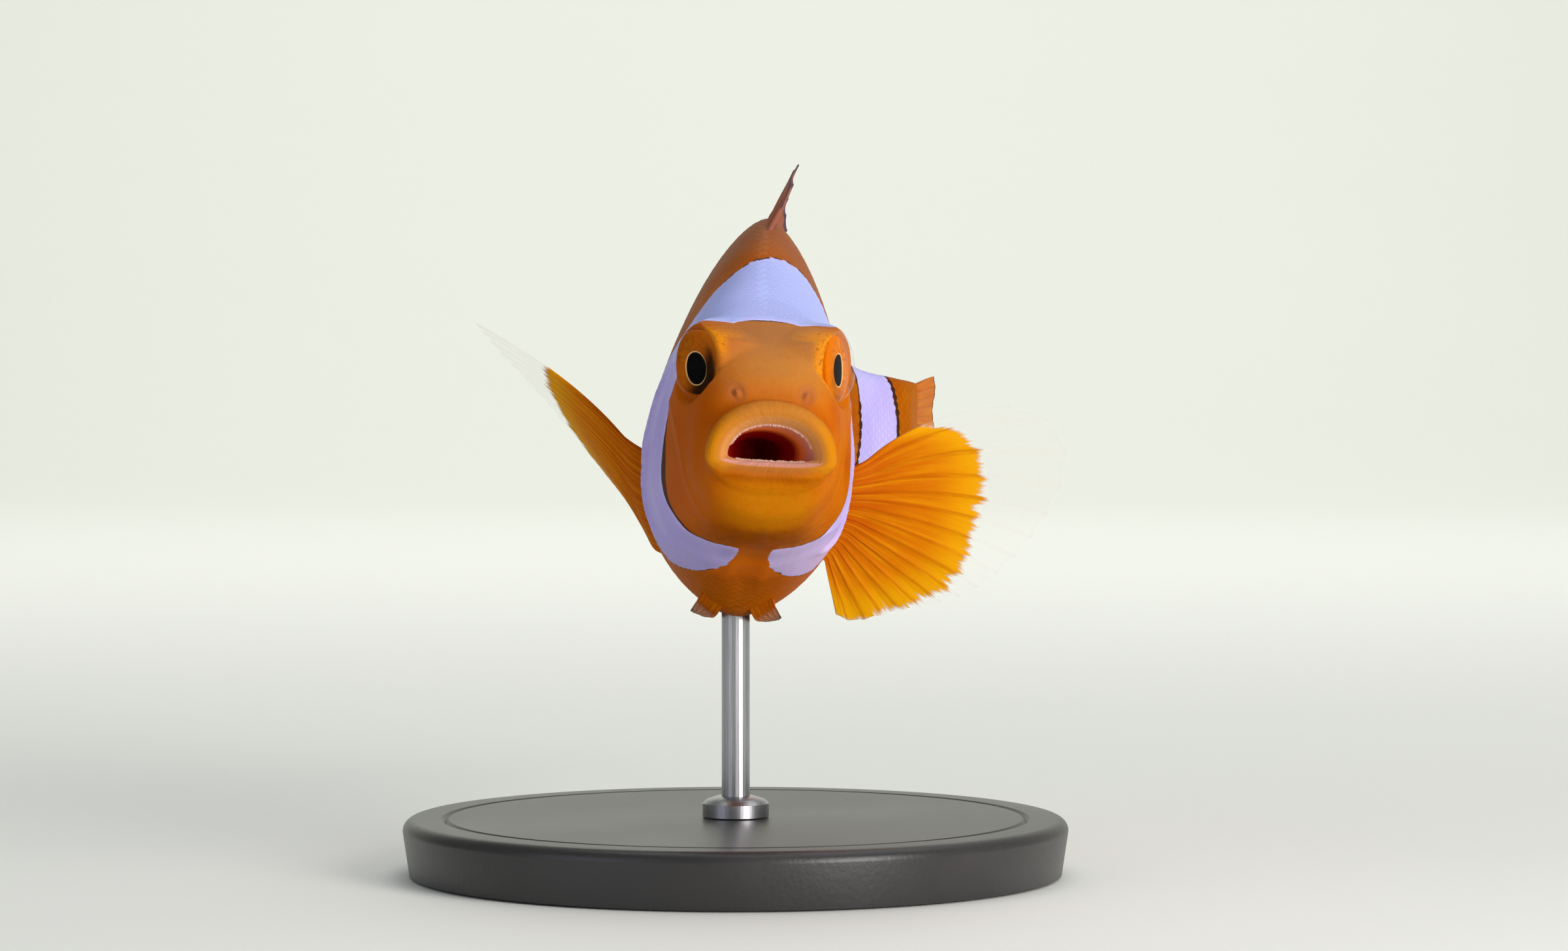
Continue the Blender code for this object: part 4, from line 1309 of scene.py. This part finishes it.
    def unwrap(self, obj: Object, roots: Array, shape: Array, side: int) -> None:
        """Give each scale a small patch on an unwrap laid out by its root's distance back and round the
        body.
        """
        patch, whole_length, whole_girth = 0.0015, 68.0, 160.0
        u = roots[:, :1] / whole_length + (shape[None, :, 0] - 0.5) * 2 * patch
        v = 0.5 + side * (0.25 + roots[:, 1:2] / whole_girth) + shape[None, :, 1] * patch
        layer = obj.data.uv_layers.new(name="OFBake")
        loops = np.empty(len(obj.data.loops), np.int32)
        obj.data.loops.foreach_get("vertex_index", loops)
        corners = np.column_stack((u.ravel(), v.ravel()))[loops]
        layer.uv.foreach_set("vector", corners.astype(np.float32).ravel())


# ---- eyes and teeth


@dataclass
class Eyes:
    """The eyeballs with their irises, and the clear corneas."""

    spine: Spine
    form: EyeForm
    segments: int = 96
    rings: int = 72
    sunny: IrisFinish = IrisFinish((0.3, 0.6, 0.3), orange=Tint(226, 122, 6), skin=Tint(214, 110, 4))
    shaded: IrisFinish = IrisFinish((1.0, 0.7, 0.95), orange=Tint(188, 94, 8))

    def frame(self, side: int) -> tuple[Array, Array, Array]:
        """Return the gaze, the way towards the snout and the way up of an eye."""
        which = 0 if side > 0 else 1
        gaze = self.form.gaze(side, self.form.yaws[which], self.form.pitches[which])
        ahead = unit(np.array((gaze[1] * side, -gaze[0] * side, 0.0)) * np.array((-1.0, -1.0, 1.0)))
        upwards = np.cross(gaze, ahead)
        return gaze, ahead, upwards * np.sign(upwards[2])

    def shaped(self, name: str, side: int, profile: Callable) -> tuple[Object, Array]:
        """Turn a ball into a solid of revolution about an eye's gaze.

        Args:
            name: The object's name.
            side: 1 for the left eye, -1 for the right one.
            profile: Gives radius and height, in millimetres, from the angle off the gaze.

        Returns:
            The object and its vertices in the eye's own terms.
        """
        deselect_all()
        bpy.ops.mesh.primitive_uv_sphere_add(segments=self.segments, ring_count=self.rings, radius=1.0)
        obj = named(name)
        ball = coordinates(obj.data)
        off = np.arccos(np.clip(ball[:, 2], -1.0, 1.0))
        turn = np.arctan2(ball[:, 1], ball[:, 0])
        radius, height = profile(off)
        local = np.column_stack((radius * np.cos(turn), radius * np.sin(turn), height))
        shift = eased(radius, self.form.pupil_radius, self.form.disc_radius)
        local[:, :2] += shift[:, None] * np.array(self.form.offset)
        gaze, ahead, upwards = self.frame(side)
        spots = self.form.place(side) + local @ np.stack((ahead, upwards, gaze))
        place_vertices(obj.data, self.spine.world(spots))
        return obj, local

    def ball(self, off: Array) -> tuple[Array, Array]:
        """Return the eyeball's profile: a domed pupil, the iris and the round back."""
        form = self.form
        front = math.radians(form.front_angle)
        radius = form.disc_radius * np.clip(off / front, 0.0, 1.0)
        lens_sunk, lens_rise = form.lens
        lens = lens_sunk + lens_rise * (1.0 - np.minimum(radius / form.pupil_radius, 1.0) ** 2)
        iris_sunk, iris_rise = form.iris
        share = np.clip((radius - form.pupil_radius) / (form.disc_radius - form.pupil_radius), 0.0, 1.0)
        iris = iris_rise * np.sin(math.pi * share) + iris_sunk
        height = form.disc_height + np.where(radius < form.pupil_radius, lens, iris)
        behind = np.clip((off - front) / (math.pi - front), 0.0, 1.0) * math.pi / 2
        radius = np.where(off > front, form.disc_radius * np.cos(behind), radius)
        rear = form.disc_height + iris_sunk - form.ball_depth * np.sin(behind)
        return radius, np.where(off > front, rear, height)

    def dome(self, off: Array) -> tuple[Array, Array]:
        """Return the cornea's profile: a dome over a shallow inner face."""
        form = self.form
        beside, above = form.cornea_gap
        rise = np.where(off < math.pi / 2, form.dome_height, -0.30) * np.cos(off)
        return (form.disc_radius + beside) * np.sin(off), form.disc_height + above + rise

    def build(self) -> None:
        """Build both eyes."""
        clear = paint_cornea()
        for side, name in ((1, "left"), (-1, "right")):
            ball, local = self.shaped("eyeball_" + name, side, self.ball)
            store(ball.data, "Iris", local)
            dome, _ = self.shaped("cornea_" + name, side, self.dome)
            for obj in (ball, dome):
                weld(obj)
                shade_closed(obj)
            finish = self.sunny if side > 0 else self.shaded
            dress(ball, finish.paint("iris_" + name), "eye", "eye_" + name)
            dress(dome, clear, "eye")


@dataclass
class Teeth:
    """The small blunt teeth of both jaws, in one row each."""

    spine: Spine
    grid: Array
    row: int
    size: float = 0.085
    spread: tuple[float, float] = (0.6, 1.35)
    proportions: Way = (1.0, 0.75, 1.25)
    forward: Way = (-0.5, 0.0, 0.0)
    raised: float = 0.03
    jaws: tuple[tuple[str, float, float, int], ...] = (
        ("teeth_upper", 0.045, 0.455, 58), ("teeth_lower", 0.555, 0.945, 54),
    )

    def build(self) -> None:
        """Build the upper and the lower row."""
        material = paint_teeth()
        rng = np.random.default_rng(5)
        around = self.grid.shape[1]
        for name, first, last, count in self.jaws:
            deselect_all()
            bpy.ops.mesh.primitive_cone_add(vertices=7, radius1=1.0, radius2=0.45, depth=2.0)
            bpy.ops.object.mode_set(mode="EDIT")
            bpy.ops.mesh.select_all(action="SELECT")
            bpy.ops.mesh.subdivide(number_cuts=1, smoothness=0.4)
            bpy.ops.object.mode_set(mode="OBJECT")
            shape, faces = mesh_arrays(bpy.context.object)
            places = np.linspace(first, last, count) * around
            low = places.astype(int)
            here, after = (self.grid[self.row][(low + k) % around] for k in (0, 1))
            roots = blend(here, after, (places - low)[:, None])
            normals = grid_normals(self.grid[self.row - 2:self.row + 3])[2]
            out = unit(normals[low % around] + np.array(self.forward))
            along = unit(after - here)
            third = np.cross(out, along)
            sizes = self.size * rng.uniform(*self.spread, count)[:, None, None]
            local = shape[None] * np.array(self.proportions) * sizes
            spots = (roots[:, None] + local[..., :1] * along[:, None] + local[..., 1:2] * third[:, None]
                     + (local[..., 2:] + self.raised) * out[:, None])
            obj = join_copies(name, self.spine.world(spots), faces)
            shade_closed(obj)
            dress(obj, material, "skin_white")


# ---- fins


@dataclass
class FinForm:
    """A fin's make: how many rays it has, and how thick its rays and webs are.

    Edge_start is the share of the rays from which the outer rays' sides count as the
    fin's edge. Places on a fin without a clear margin lie inside its colour.
    """

    spine: Spine
    bands: Bands
    name: str
    rays: int = 13
    branch: float = 0.22
    ray_thickness: float = 0.34
    web_thickness: float = 0.16
    root_thickness: float = 0.9
    columns_per_ray: int = 8
    rows: int = 56
    edge_start: float = 0.25
    ray_gap: float = 0.9
    tip_share: float = 0.3
    inside: float = 20.0

    def spots(self, t: Array, share: Array) -> Array:
        """Return places on the fin's middle sheet; each kind of fin has its own."""
        raise NotImplementedError

    def lengths(self, t: Array) -> Array:
        """Return the length of the rays; each kind of fin has its own."""
        raise NotImplementedError

    def pigment(self, t: Array, share: Array) -> Array:
        """Return how far inside the coloured part places lie, in millimetres."""
        return np.full(t.shape, self.inside)

    def web(self, t: Array) -> Array:
        """Return how far places are from the rays, from 0 on one to 1 between two."""
        ray = t * (self.rays - 1)
        return np.sin(math.pi * (ray - np.floor(ray)))

    def ridges(self, t: Array, share: Array) -> Array:
        """Return how much a place belongs to a ray, from 0 on a web to 1."""
        ray = t * (self.rays - 1)
        off = np.abs(ray - np.rint(ray))
        fork = self.branch * eased(share, 0.35, 0.95)
        return hump(np.abs(off - fork), 0.0, 0.15) * eased(share, 0.05, 0.3)

    def build(self, material: Material, node: str) -> None:
        """Build the fin with its rays raised on both sides."""
        columns = (self.rays - 1) * self.columns_per_ray + 1
        obj, column, row = add_grid(self.name, columns, self.rows + 1)
        t = column / (columns - 1)
        share = row / self.rows
        spots = self.spots(t, share)
        place_vertices(obj.data, self.spine.world(spots))
        store(obj.data, "Fish", spots)
        store(obj.data, "Fin", share, t * (self.rays - 1), self.pigment(t, share))
        side_edge = np.minimum(t, 1.0 - t) * (self.rays - 1) * self.ray_gap + 0.25
        side_edge = side_edge + self.inside * (share < self.edge_start)
        edge = np.minimum((1.0 - share) * self.lengths(t), side_edge)
        store(obj.data, "Mark", self.bands.depth(spots), self.bands.border(spots), edge)
        thickness = blend(self.web_thickness, self.ray_thickness, self.ridges(t, share))
        thickness = thickness * blend(1.0, self.tip_share, eased(share, 0.3, 1.0))
        thickness = np.maximum(thickness, self.root_thickness * faded(share, 0.0, 0.22))
        thickest = float(thickness.max())
        group = obj.vertex_groups.new(name="thickness")
        for index, value in enumerate(thickness / thickest):
            group.add((index,), float(value), "REPLACE")
        thicken = obj.modifiers.new("thickness", "SOLIDIFY")
        thicken.thickness = thickest * MM
        thicken.offset = 0.0
        thicken.vertex_group = group.name
        thicken.use_even_offset = False
        apply_modifiers(obj)
        obj.vertex_groups.clear()
        shade_closed(obj)
        dress(obj, material, "fin", node)


@dataclass
class MidlineFin(FinForm):
    """A fin on the back (side 1) or under the belly (side -1)."""

    reach: tuple[float, float] = (21.5, 38.5)
    heights: tuple[float, ...] = (3.0, 5.0, 6.1, 6.1, 5.2, 3.8, 2.8)
    rake: tuple[float, float] = (25.0, 42.0)
    lean: float = 21.0
    side: int = 1
    notch: float = 0.05
    sunk: float = 0.5

    def lengths(self, t: Array) -> Array:
        """Return the height of the rays, with the webs notched between their tips."""
        return read_even(self.heights, t) * (1.0 - self.notch * self.web(t) ** 0.7) + self.sunk

    def spots(self, t: Array, share: Array) -> Array:
        """Return places on the fin, rooted a little under the skin."""
        back = blend(self.reach[0], self.reach[1], t)
        root = read_rows(BODY_ROWS, back)[..., 0 if self.side > 0 else 1] - self.side * self.sunk
        length = self.lengths(t) * share
        angle = np.radians(blend(self.rake[0], self.rake[1], t))
        up = length * np.cos(angle)
        lean = np.radians(self.lean) * eased(share, 0.0, 0.3)
        wave = 0.10 * np.sin(t * 21.0) * share
        return np.stack((back + length * np.sin(angle), up * np.sin(lean) + wave,
                         root + self.side * up * np.cos(lean)), -1)


@dataclass
class TailFin(FinForm):
    """The tail fin, half folded, with a rounded end."""

    start: float = 63.8
    sunk: float = 1.4
    length: float = 15.5
    root: tuple[float, float] = (3.5, -5.1)
    tip: tuple[float, float] = (4.3, -7.9)
    rounding: float = 0.16

    def lengths(self, t: Array) -> Array:
        """Return the length of the rays."""
        return self.length * (1.0 - self.rounding * (2.0 * t - 1.0) ** 2) * (1.0 - 0.02 * self.web(t))

    def spots(self, t: Array, share: Array) -> Array:
        """Return places on the fin, rooted inside the tail's flesh."""
        reach = -self.sunk + (self.lengths(t) + self.sunk) * share
        spread = np.sin(np.clip(reach / self.length, 0.0, 1.0) * math.pi / 2)
        root = blend(self.root[0], self.root[1], t)
        tip = blend(self.tip[0], self.tip[1], t)
        return np.stack((self.start + reach, 0.12 * np.sin(t * 19.0) * share, blend(root, tip, spread)), -1)


@dataclass
class PairedFin(FinForm):
    """A fin on the left (side 1) or on the right (side -1)."""

    side: int = 1
    roots: Table = ()
    ways: Table = ()
    curls: Table = ()
    reaches: tuple[float, ...] = ()
    coloured: tuple[float, ...] = ()
    sunk: float = 0.9
    inset: Way = (0.0, -1.3, 0.0)

    def lengths(self, t: Array) -> Array:
        """Return the length of the rays, with the webs a little shorter."""
        return read_even(self.reaches, t) * (1.0 - 0.02 * self.web(t))

    def spots(self, t: Array, share: Array) -> Array:
        """Return places on the fin, rooted under the skin."""
        root = read_even(self.roots, t)
        way = unit(read_even(self.ways, t))
        curl = read_even(self.curls, t)
        length = self.lengths(t)[..., None]
        along = share[..., None] * (1.0 + self.sunk / length) - self.sunk / length
        spot = root + (way * along + curl * along * np.abs(along)) * length
        spot[..., 0] += 0.05 * np.sin(t * (self.rays - 1) * math.pi) * share
        spot += np.array(self.inset) * (faded(share, 0.0, 0.2) ** 2)[..., None]
        return spot * np.array((1.0, self.side, 1.0))

    def pigment(self, t: Array, share: Array) -> Array:
        """Return how far inside the coloured part places lie."""
        if not self.coloured:
            return super().pigment(t, share)
        return (read_even(self.coloured, t) - share) * self.lengths(t)


@dataclass
class Fins:
    """All the fins of the fish."""

    spine: Spine
    bands: Bands
    pectoral_back: tuple[float, float] = (21.0, 22.2)
    pectoral_up: tuple[float, float] = (-1.5, -8.8)
    pelvic_root: Table = ((21.8, 3.0), (22.8, 2.2), (23.6, 1.45))
    pectoral_clear: float = 0.575
    pelvic_clear: float = 0.85

    def side_at(self, back: float, up: float) -> float:
        """Return the half width of the body at a distance back and a height."""
        top, bottom, waist, half, up_side, up_height, low_side, low_height = read_rows(BODY_ROWS, back)
        above = up >= waist
        share = (up - waist) / (top - waist) if above else (waist - up) / (waist - bottom)
        side, height = (up_side, up_height) if above else (low_side, low_height)
        return float(half * (1.0 - min(share, 1.0) ** height) ** (1.0 / side))

    def belly_at(self, back: float, left: float) -> float:
        """Return the height of the belly at a distance back and to a side."""
        _, bottom, waist, half, _, _, low_side, low_height = read_rows(BODY_ROWS, back)
        return float(waist - (waist - bottom) * (1.0 - (abs(left) / half) ** low_side) ** (1.0 / low_height))

    def pectoral_roots(self) -> Table:
        """Return the line that a pectoral fin grows from."""
        spots = [(blend(*self.pectoral_back, share), blend(*self.pectoral_up, share))
                 for share in (0.0, 0.25, 0.5, 0.75, 1.0)]
        return tuple((back, self.side_at(back, up) + self.pectoral_clear, up) for back, up in spots)

    def build(self) -> None:
        """Build every fin."""
        common = {"spine": self.spine, "bands": self.bands}
        edged = FinFinish("fin_black_edged", margin=0.75, band_start=5.0).paint()
        clear = FinFinish("fin_clear_edged", orange=Tint(206, 114, 2), yellow=Tint(230, 164, 6),
                          margin=-1.0, clear_alpha=0.08).paint()
        # Painted shade: the spiny dorsal fin's colours are muted, mauve-brown copies of the fin colours.
        spiny = FinFinish("fin_spiny", orange=Tint(150, 86, 58), root=Tint(158, 84, 36),
                          yellow=Tint(170, 94, 52), ray=Tint(146, 98, 96), black=Tint(84, 62, 74),
                          margin=0.45, band_start=5.0).paint()
        soft = FinFinish("fin_soft_dorsal", orange=Tint(170, 96, 30), yellow=Tint(196, 130, 30),
                         margin=0.3).paint()
        tail = FinFinish("fin_tail", margin=0.35).paint()
        MidlineFin(name="dorsal_spiny", rays=10, branch=0.0, ray_thickness=0.42, edge_start=2.0,
                   **common).build(spiny, "dorsal_fin_spiny")
        MidlineFin(name="dorsal_soft", rays=14, reach=(38.9, 53.5), heights=(3.2, 3.6, 3.8, 3.8, 3.5, 2.8),
                   rake=(94.0, 103.0), lean=6.0, notch=0.03, **common).build(soft, "dorsal_fin_soft")
        MidlineFin(name="anal", rays=14, reach=(40.0, 53.5), heights=(3.2, 5.6, 7.2, 7.8, 7.2, 5.6),
                   rake=(62.0, 77.0), lean=0.0, side=-1, notch=0.03, **common).build(edged, "anal_fin")
        TailFin(name="tail", rays=15, edge_start=2.0, **common).build(tail, "tail_fin")
        self.build_pectorals(clear, common)
        self.build_pelvics(edged, common)

    def build_pectorals(self, material: Material, common: dict) -> None:
        """Build the left pectoral fin, spread, and the right one, feathered."""
        common = {"rays": 17, "columns_per_ray": 10, "rows": 80, "roots": self.pectoral_roots(), **common}
        PairedFin(
            name="pectoral_left", side=1, ray_thickness=0.28,
            ways=((0.08, 0.64, 0.77), (0.05, 0.93, 0.37), (0.02, 1.00, 0.00), (0.00, 0.94, -0.34),
                  (0.02, 0.81, -0.58), (0.06, 0.59, -0.81), (0.12, 0.28, -0.96)),
            curls=((0.0, 0.25, -0.31), (0.0, 0.06, -0.21), (0.0, 0.0, -0.08), (0.0, 0.0, 0.0),
                   (0.0, 0.0, 0.0)),
            reaches=(12.8, 15.4, 15.3, 14.4, 13.3, 12.2, 11.1, 9.9, 8.6, 7.3, 6.3, 5.4, 4.2),
            coloured=(0.52, 0.60, 0.66, 0.69, 0.73, 0.80, 0.86, 0.90, 0.94, 0.97, 1.0, 1.02, 1.02),
            **common).build(material, "pectoral_fin_left")
        PairedFin(
            name="pectoral_right", side=-1,
            ways=((0.00, 0.70, 0.71), (0.25, 0.66, 0.71), (0.48, 0.56, 0.67), (0.68, 0.44, 0.58),
                  (0.80, 0.30, 0.50)),
            curls=((0.0, 0.10, -0.16), (0.0, 0.08, -0.12), (0.0, 0.05, -0.05)),
            reaches=(16.4, 16.6, 16.0, 15.2, 14.3, 13.3, 12.3, 11.3, 10.3, 9.3, 8.3, 7.3, 5.8),
            coloured=(0.62, 0.64, 0.66, 0.70, 0.74, 0.80, 0.86, 0.90, 0.94, 0.97, 1.0, 1.02, 1.02),
            **common).build(material, "pectoral_fin_right")

    def build_pelvics(self, material: Material, common: dict) -> None:
        """Build the pelvic fins, folded back under the belly."""
        roots = tuple((back, left, self.belly_at(back, left) - self.pelvic_clear)
                      for back, left in self.pelvic_root)
        for name, side in (("left", 1), ("right", -1)):
            PairedFin(
                name="pelvic_" + name, rays=6, columns_per_ray=10, side=side, roots=roots,
                ways=((0.98, 0.05, -0.13), (0.99, 0.06, -0.10), (0.99, 0.10, -0.08)),
                curls=((0.0, 0.0, 0.0), (0.0, 0.0, 0.0)), edge_start=0.7,
                reaches=(12.5, 13.5, 13.0, 11.5, 9.5), inset=(-0.6, -0.5, 1.6),
                **common).build(material, "pelvic_fin_" + name)


# ---- the stand and studio


@dataclass
class Stand:
    """The round base, turned, with a collar for the rod. Measures are in metres."""

    finish: StandFinish = StandFinish()
    edge: float = 0.0009
    foot: float = 0.0011
    groove: Way = (0.0030, 0.0036, 0.00025)
    centre: float = 0.00002
    collar: tuple[float, float] = (0.00112, 0.0026)
    collar_height: float = 0.0017
    bevel: float = 0.0003
    clearance: float = 0.0001

    def turned(self, name: str, profile: Table, segments: int) -> Object:
        """Spin a profile of radius and height, in metres, about the upright axis."""
        deselect_all()
        radius, height = profile[0]
        bpy.ops.mesh.primitive_circle_add(vertices=segments, radius=radius, location=(0, 0, height))
        obj = named(name)
        bpy.ops.object.mode_set(mode="EDIT")
        bpy.ops.mesh.select_all(action="SELECT")
        for next_radius, next_height in profile[1:]:
            bpy.ops.mesh.extrude_region_move(TRANSFORM_OT_translate={"value": (0, 0, next_height - height)})
            scale = next_radius / radius
            bpy.ops.transform.resize(value=(scale, scale, 1.0), center_override=(0, 0, next_height))
            radius, height = next_radius, next_height
        bpy.ops.object.mode_set(mode="OBJECT")
        bpy.ops.object.transform_apply(location=True, rotation=True, scale=True)
        return obj

    def build(self) -> None:
        """Build the base and the rod's collar, and finish the rod."""
        _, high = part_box("stand_base")
        radius, top = high.x, high.z
        far, near, deep = self.groove
        rim = [(self.centre, 0.0), (radius - self.foot, 0.0), (radius - 0.0005, 0.0002)]
        for k in range(9):
            angle = math.radians(90.0 * k / 8)
            across, under = self.edge * (1.0 - math.cos(angle)), self.edge * (1.0 - math.sin(angle))
            rim.append((radius - across, top - under))
        rim += [(radius - far, top), (radius - (far + near) / 2, top - deep), (radius - near, top)]
        rim.append((self.centre, top))
        self.add("display_base", tuple(rim), 160, 5e-5, self.finish.paint_base(), "stand", "stand_base")
        steel = self.finish.paint_rod()
        inner, outer = self.collar
        low, high = top + self.clearance, top + self.collar_height
        ring = ((inner, low), (outer, low), (outer, low + 0.0010), (outer - self.bevel, high - self.bevel),
                (inner + self.bevel, high), (inner, high), (inner, low))
        self.add("rod_collar", ring, 64, 1e-6, steel, "stand_rod")
        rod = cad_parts["stand_rod"]
        rod.data.materials.clear()
        rod.data.materials.append(steel)

    def add(self, name: str, profile: Table, segments: int, reach: float, material: Material,
            *slot_and_nodes: str) -> None:
        """Turn a piece, merge its doubles within a reach, keep its edges crisp and finish it."""
        obj = self.turned(name, profile, segments)
        weld(obj, reach)
        shade_crisp(obj, 30.0)
        dress(obj, material, *slot_and_nodes)


@dataclass
class Studio:
    """The camera, the pale floor that curves up behind, and the lights."""

    spine: Spine
    lens: float = 119.7
    distance: float = 0.380
    elevation: float = 2.0
    aim: tuple[float, float] = (0.00081, -0.00181)

    def build(self) -> None:
        """Build the studio."""
        self.add_camera()
        self.add_floor()
        fish, backdrop = (0.0, 0.0, 0.034), (0.0, 1.2, 0.38)
        self.add_light("key", (0.25, -0.27, 0.17), 0.16, 0.66, (1.0, 0.97, 0.92), fish)
        self.add_light("fill", (-0.30, -0.26, 0.10), 0.26, 0.22, (0.74, 0.78, 1.0), fish)
        self.add_light("top", (0.15, 0.15, 0.95), 1.00, 3.7, (0.93, 0.95, 1.0), fish)
        self.add_light("low", (0.20, -0.26, 0.02), 0.14, 0.72, (1.0, 0.93, 0.97), fish)
        self.add_light("back", (0.0, 0.50, 0.80), 0.80, 5.6, (1.0, 1.0, 0.97), backdrop)
        world = bpy.data.worlds.new("studio")
        world.use_nodes = True
        sky = world.node_tree.nodes["Background"].inputs
        sky[0].default_value = (0.80, 0.84, 0.82, 1.0)
        sky[1].default_value = 0.28
        bpy.context.scene.world = world
        bpy.context.scene.view_settings.view_transform = "Standard"

    def add_camera(self) -> None:
        """Add the camera in front of the mouth, a little above level."""
        rise = math.radians(self.elevation)
        forward = Vector((0.0, math.cos(rise), -math.sin(rise)))
        upward = Vector((0.0, math.sin(rise), math.cos(rise)))
        mouth = Vector(self.spine.world(np.zeros(3)))
        target = mouth + Vector((self.aim[0], 0.0, 0.0)) + upward * self.aim[1]
        data = bpy.data.cameras.new("camera")
        data.lens = self.lens
        data.sensor_width = 36.0
        data.clip_start = 0.01
        data.clip_end = 20.0
        camera = bpy.data.objects.new("camera", data)
        camera.location = target - forward * self.distance
        camera.rotation_mode = "QUATERNION"
        camera.rotation_quaternion = forward.to_track_quat("-Z", "Y")
        bpy.context.scene.collection.objects.link(camera)
        bpy.context.scene.camera = camera

    def add_floor(self) -> None:
        """Add a wide floor whose far side curves up into a backdrop."""
        columns, rows = 3, 40
        width, front, start, radius, height = 6.0, -1.5, 0.7, 0.5, 2.0
        level, upright = 0.3, 0.7
        obj, column, row = add_grid("floor", columns, rows)
        across = (column / (columns - 1) - 0.5) * width
        run = row / (rows - 1)
        angle = np.clip((run - level) / (upright - level), 0.0, 1.0) * math.pi / 2
        y = np.where(run < level, front + (start - front) * run / level, start + radius * np.sin(angle))
        z = radius * (1.0 - np.cos(angle)) + np.maximum(run - upright, 0.0) / (1.0 - upright) * height
        place_vertices(obj.data, np.column_stack((across, y, z)))
        p = Paint("pale_floor")
        _, away, _ = p.parts(p.place())
        colour = p.layered(
            Tint(248, 248, 242), (p.eased(away, 0.15, 0.85), Tint(226, 227, 219)),
            (p.noise(p.place(), 3.0, 3.0) * 0.3, Tint(236, 238, 230)))
        p.set(Base_Color=colour, Roughness=0.75)
        obj.data.materials.append(p.material)
        shade_smooth(obj)

    def add_light(self, name: str, place: Way, size: float, power: float, colour: Way, aim: Way) -> None:
        """Add a square soft light that faces a place."""
        data = bpy.data.lights.new(name, "AREA")
        data.size = size
        data.energy = power
        data.color = colour
        light = bpy.data.objects.new(name, data)
        light.location = place
        light.rotation_mode = "QUATERNION"
        light.rotation_quaternion = (Vector(aim) - Vector(place)).to_track_quat("-Z", "Y")
        bpy.context.scene.collection.objects.link(light)


# ---- the whole


FLESH = (
    "head", "lower_jaw", "gill_cover_left", "gill_cover_right",
    "trunk_front", "trunk_middle", "trunk_rear", "tail_base",
)


def main() -> None:
    """Build the fish, its stand and the studio."""
    logging.basicConfig(level=logging.INFO, format="%(name)s %(message)s")
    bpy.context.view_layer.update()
    spine = Spine()
    bands = Bands()
    eye = EyeForm()
    Studio(spine).build()
    finish = BodyFinish()
    skin = Skin(spine, bands, eye)
    obj, sheet = skin.build()
    dress(obj, finish.paint(Surface.SKIN), "skin_orange", *FLESH)
    ScaleCoat(spine, bands, sheet).build(finish.paint(Surface.SCALE))
    Eyes(spine, eye).build()
    grid, count = skin.places()
    Teeth(spine, grid, int(np.searchsorted(count, 4.9))).build()
    Fins(spine, bands).build()
    Stand().build()


if __name__ == "__main__":
    main()
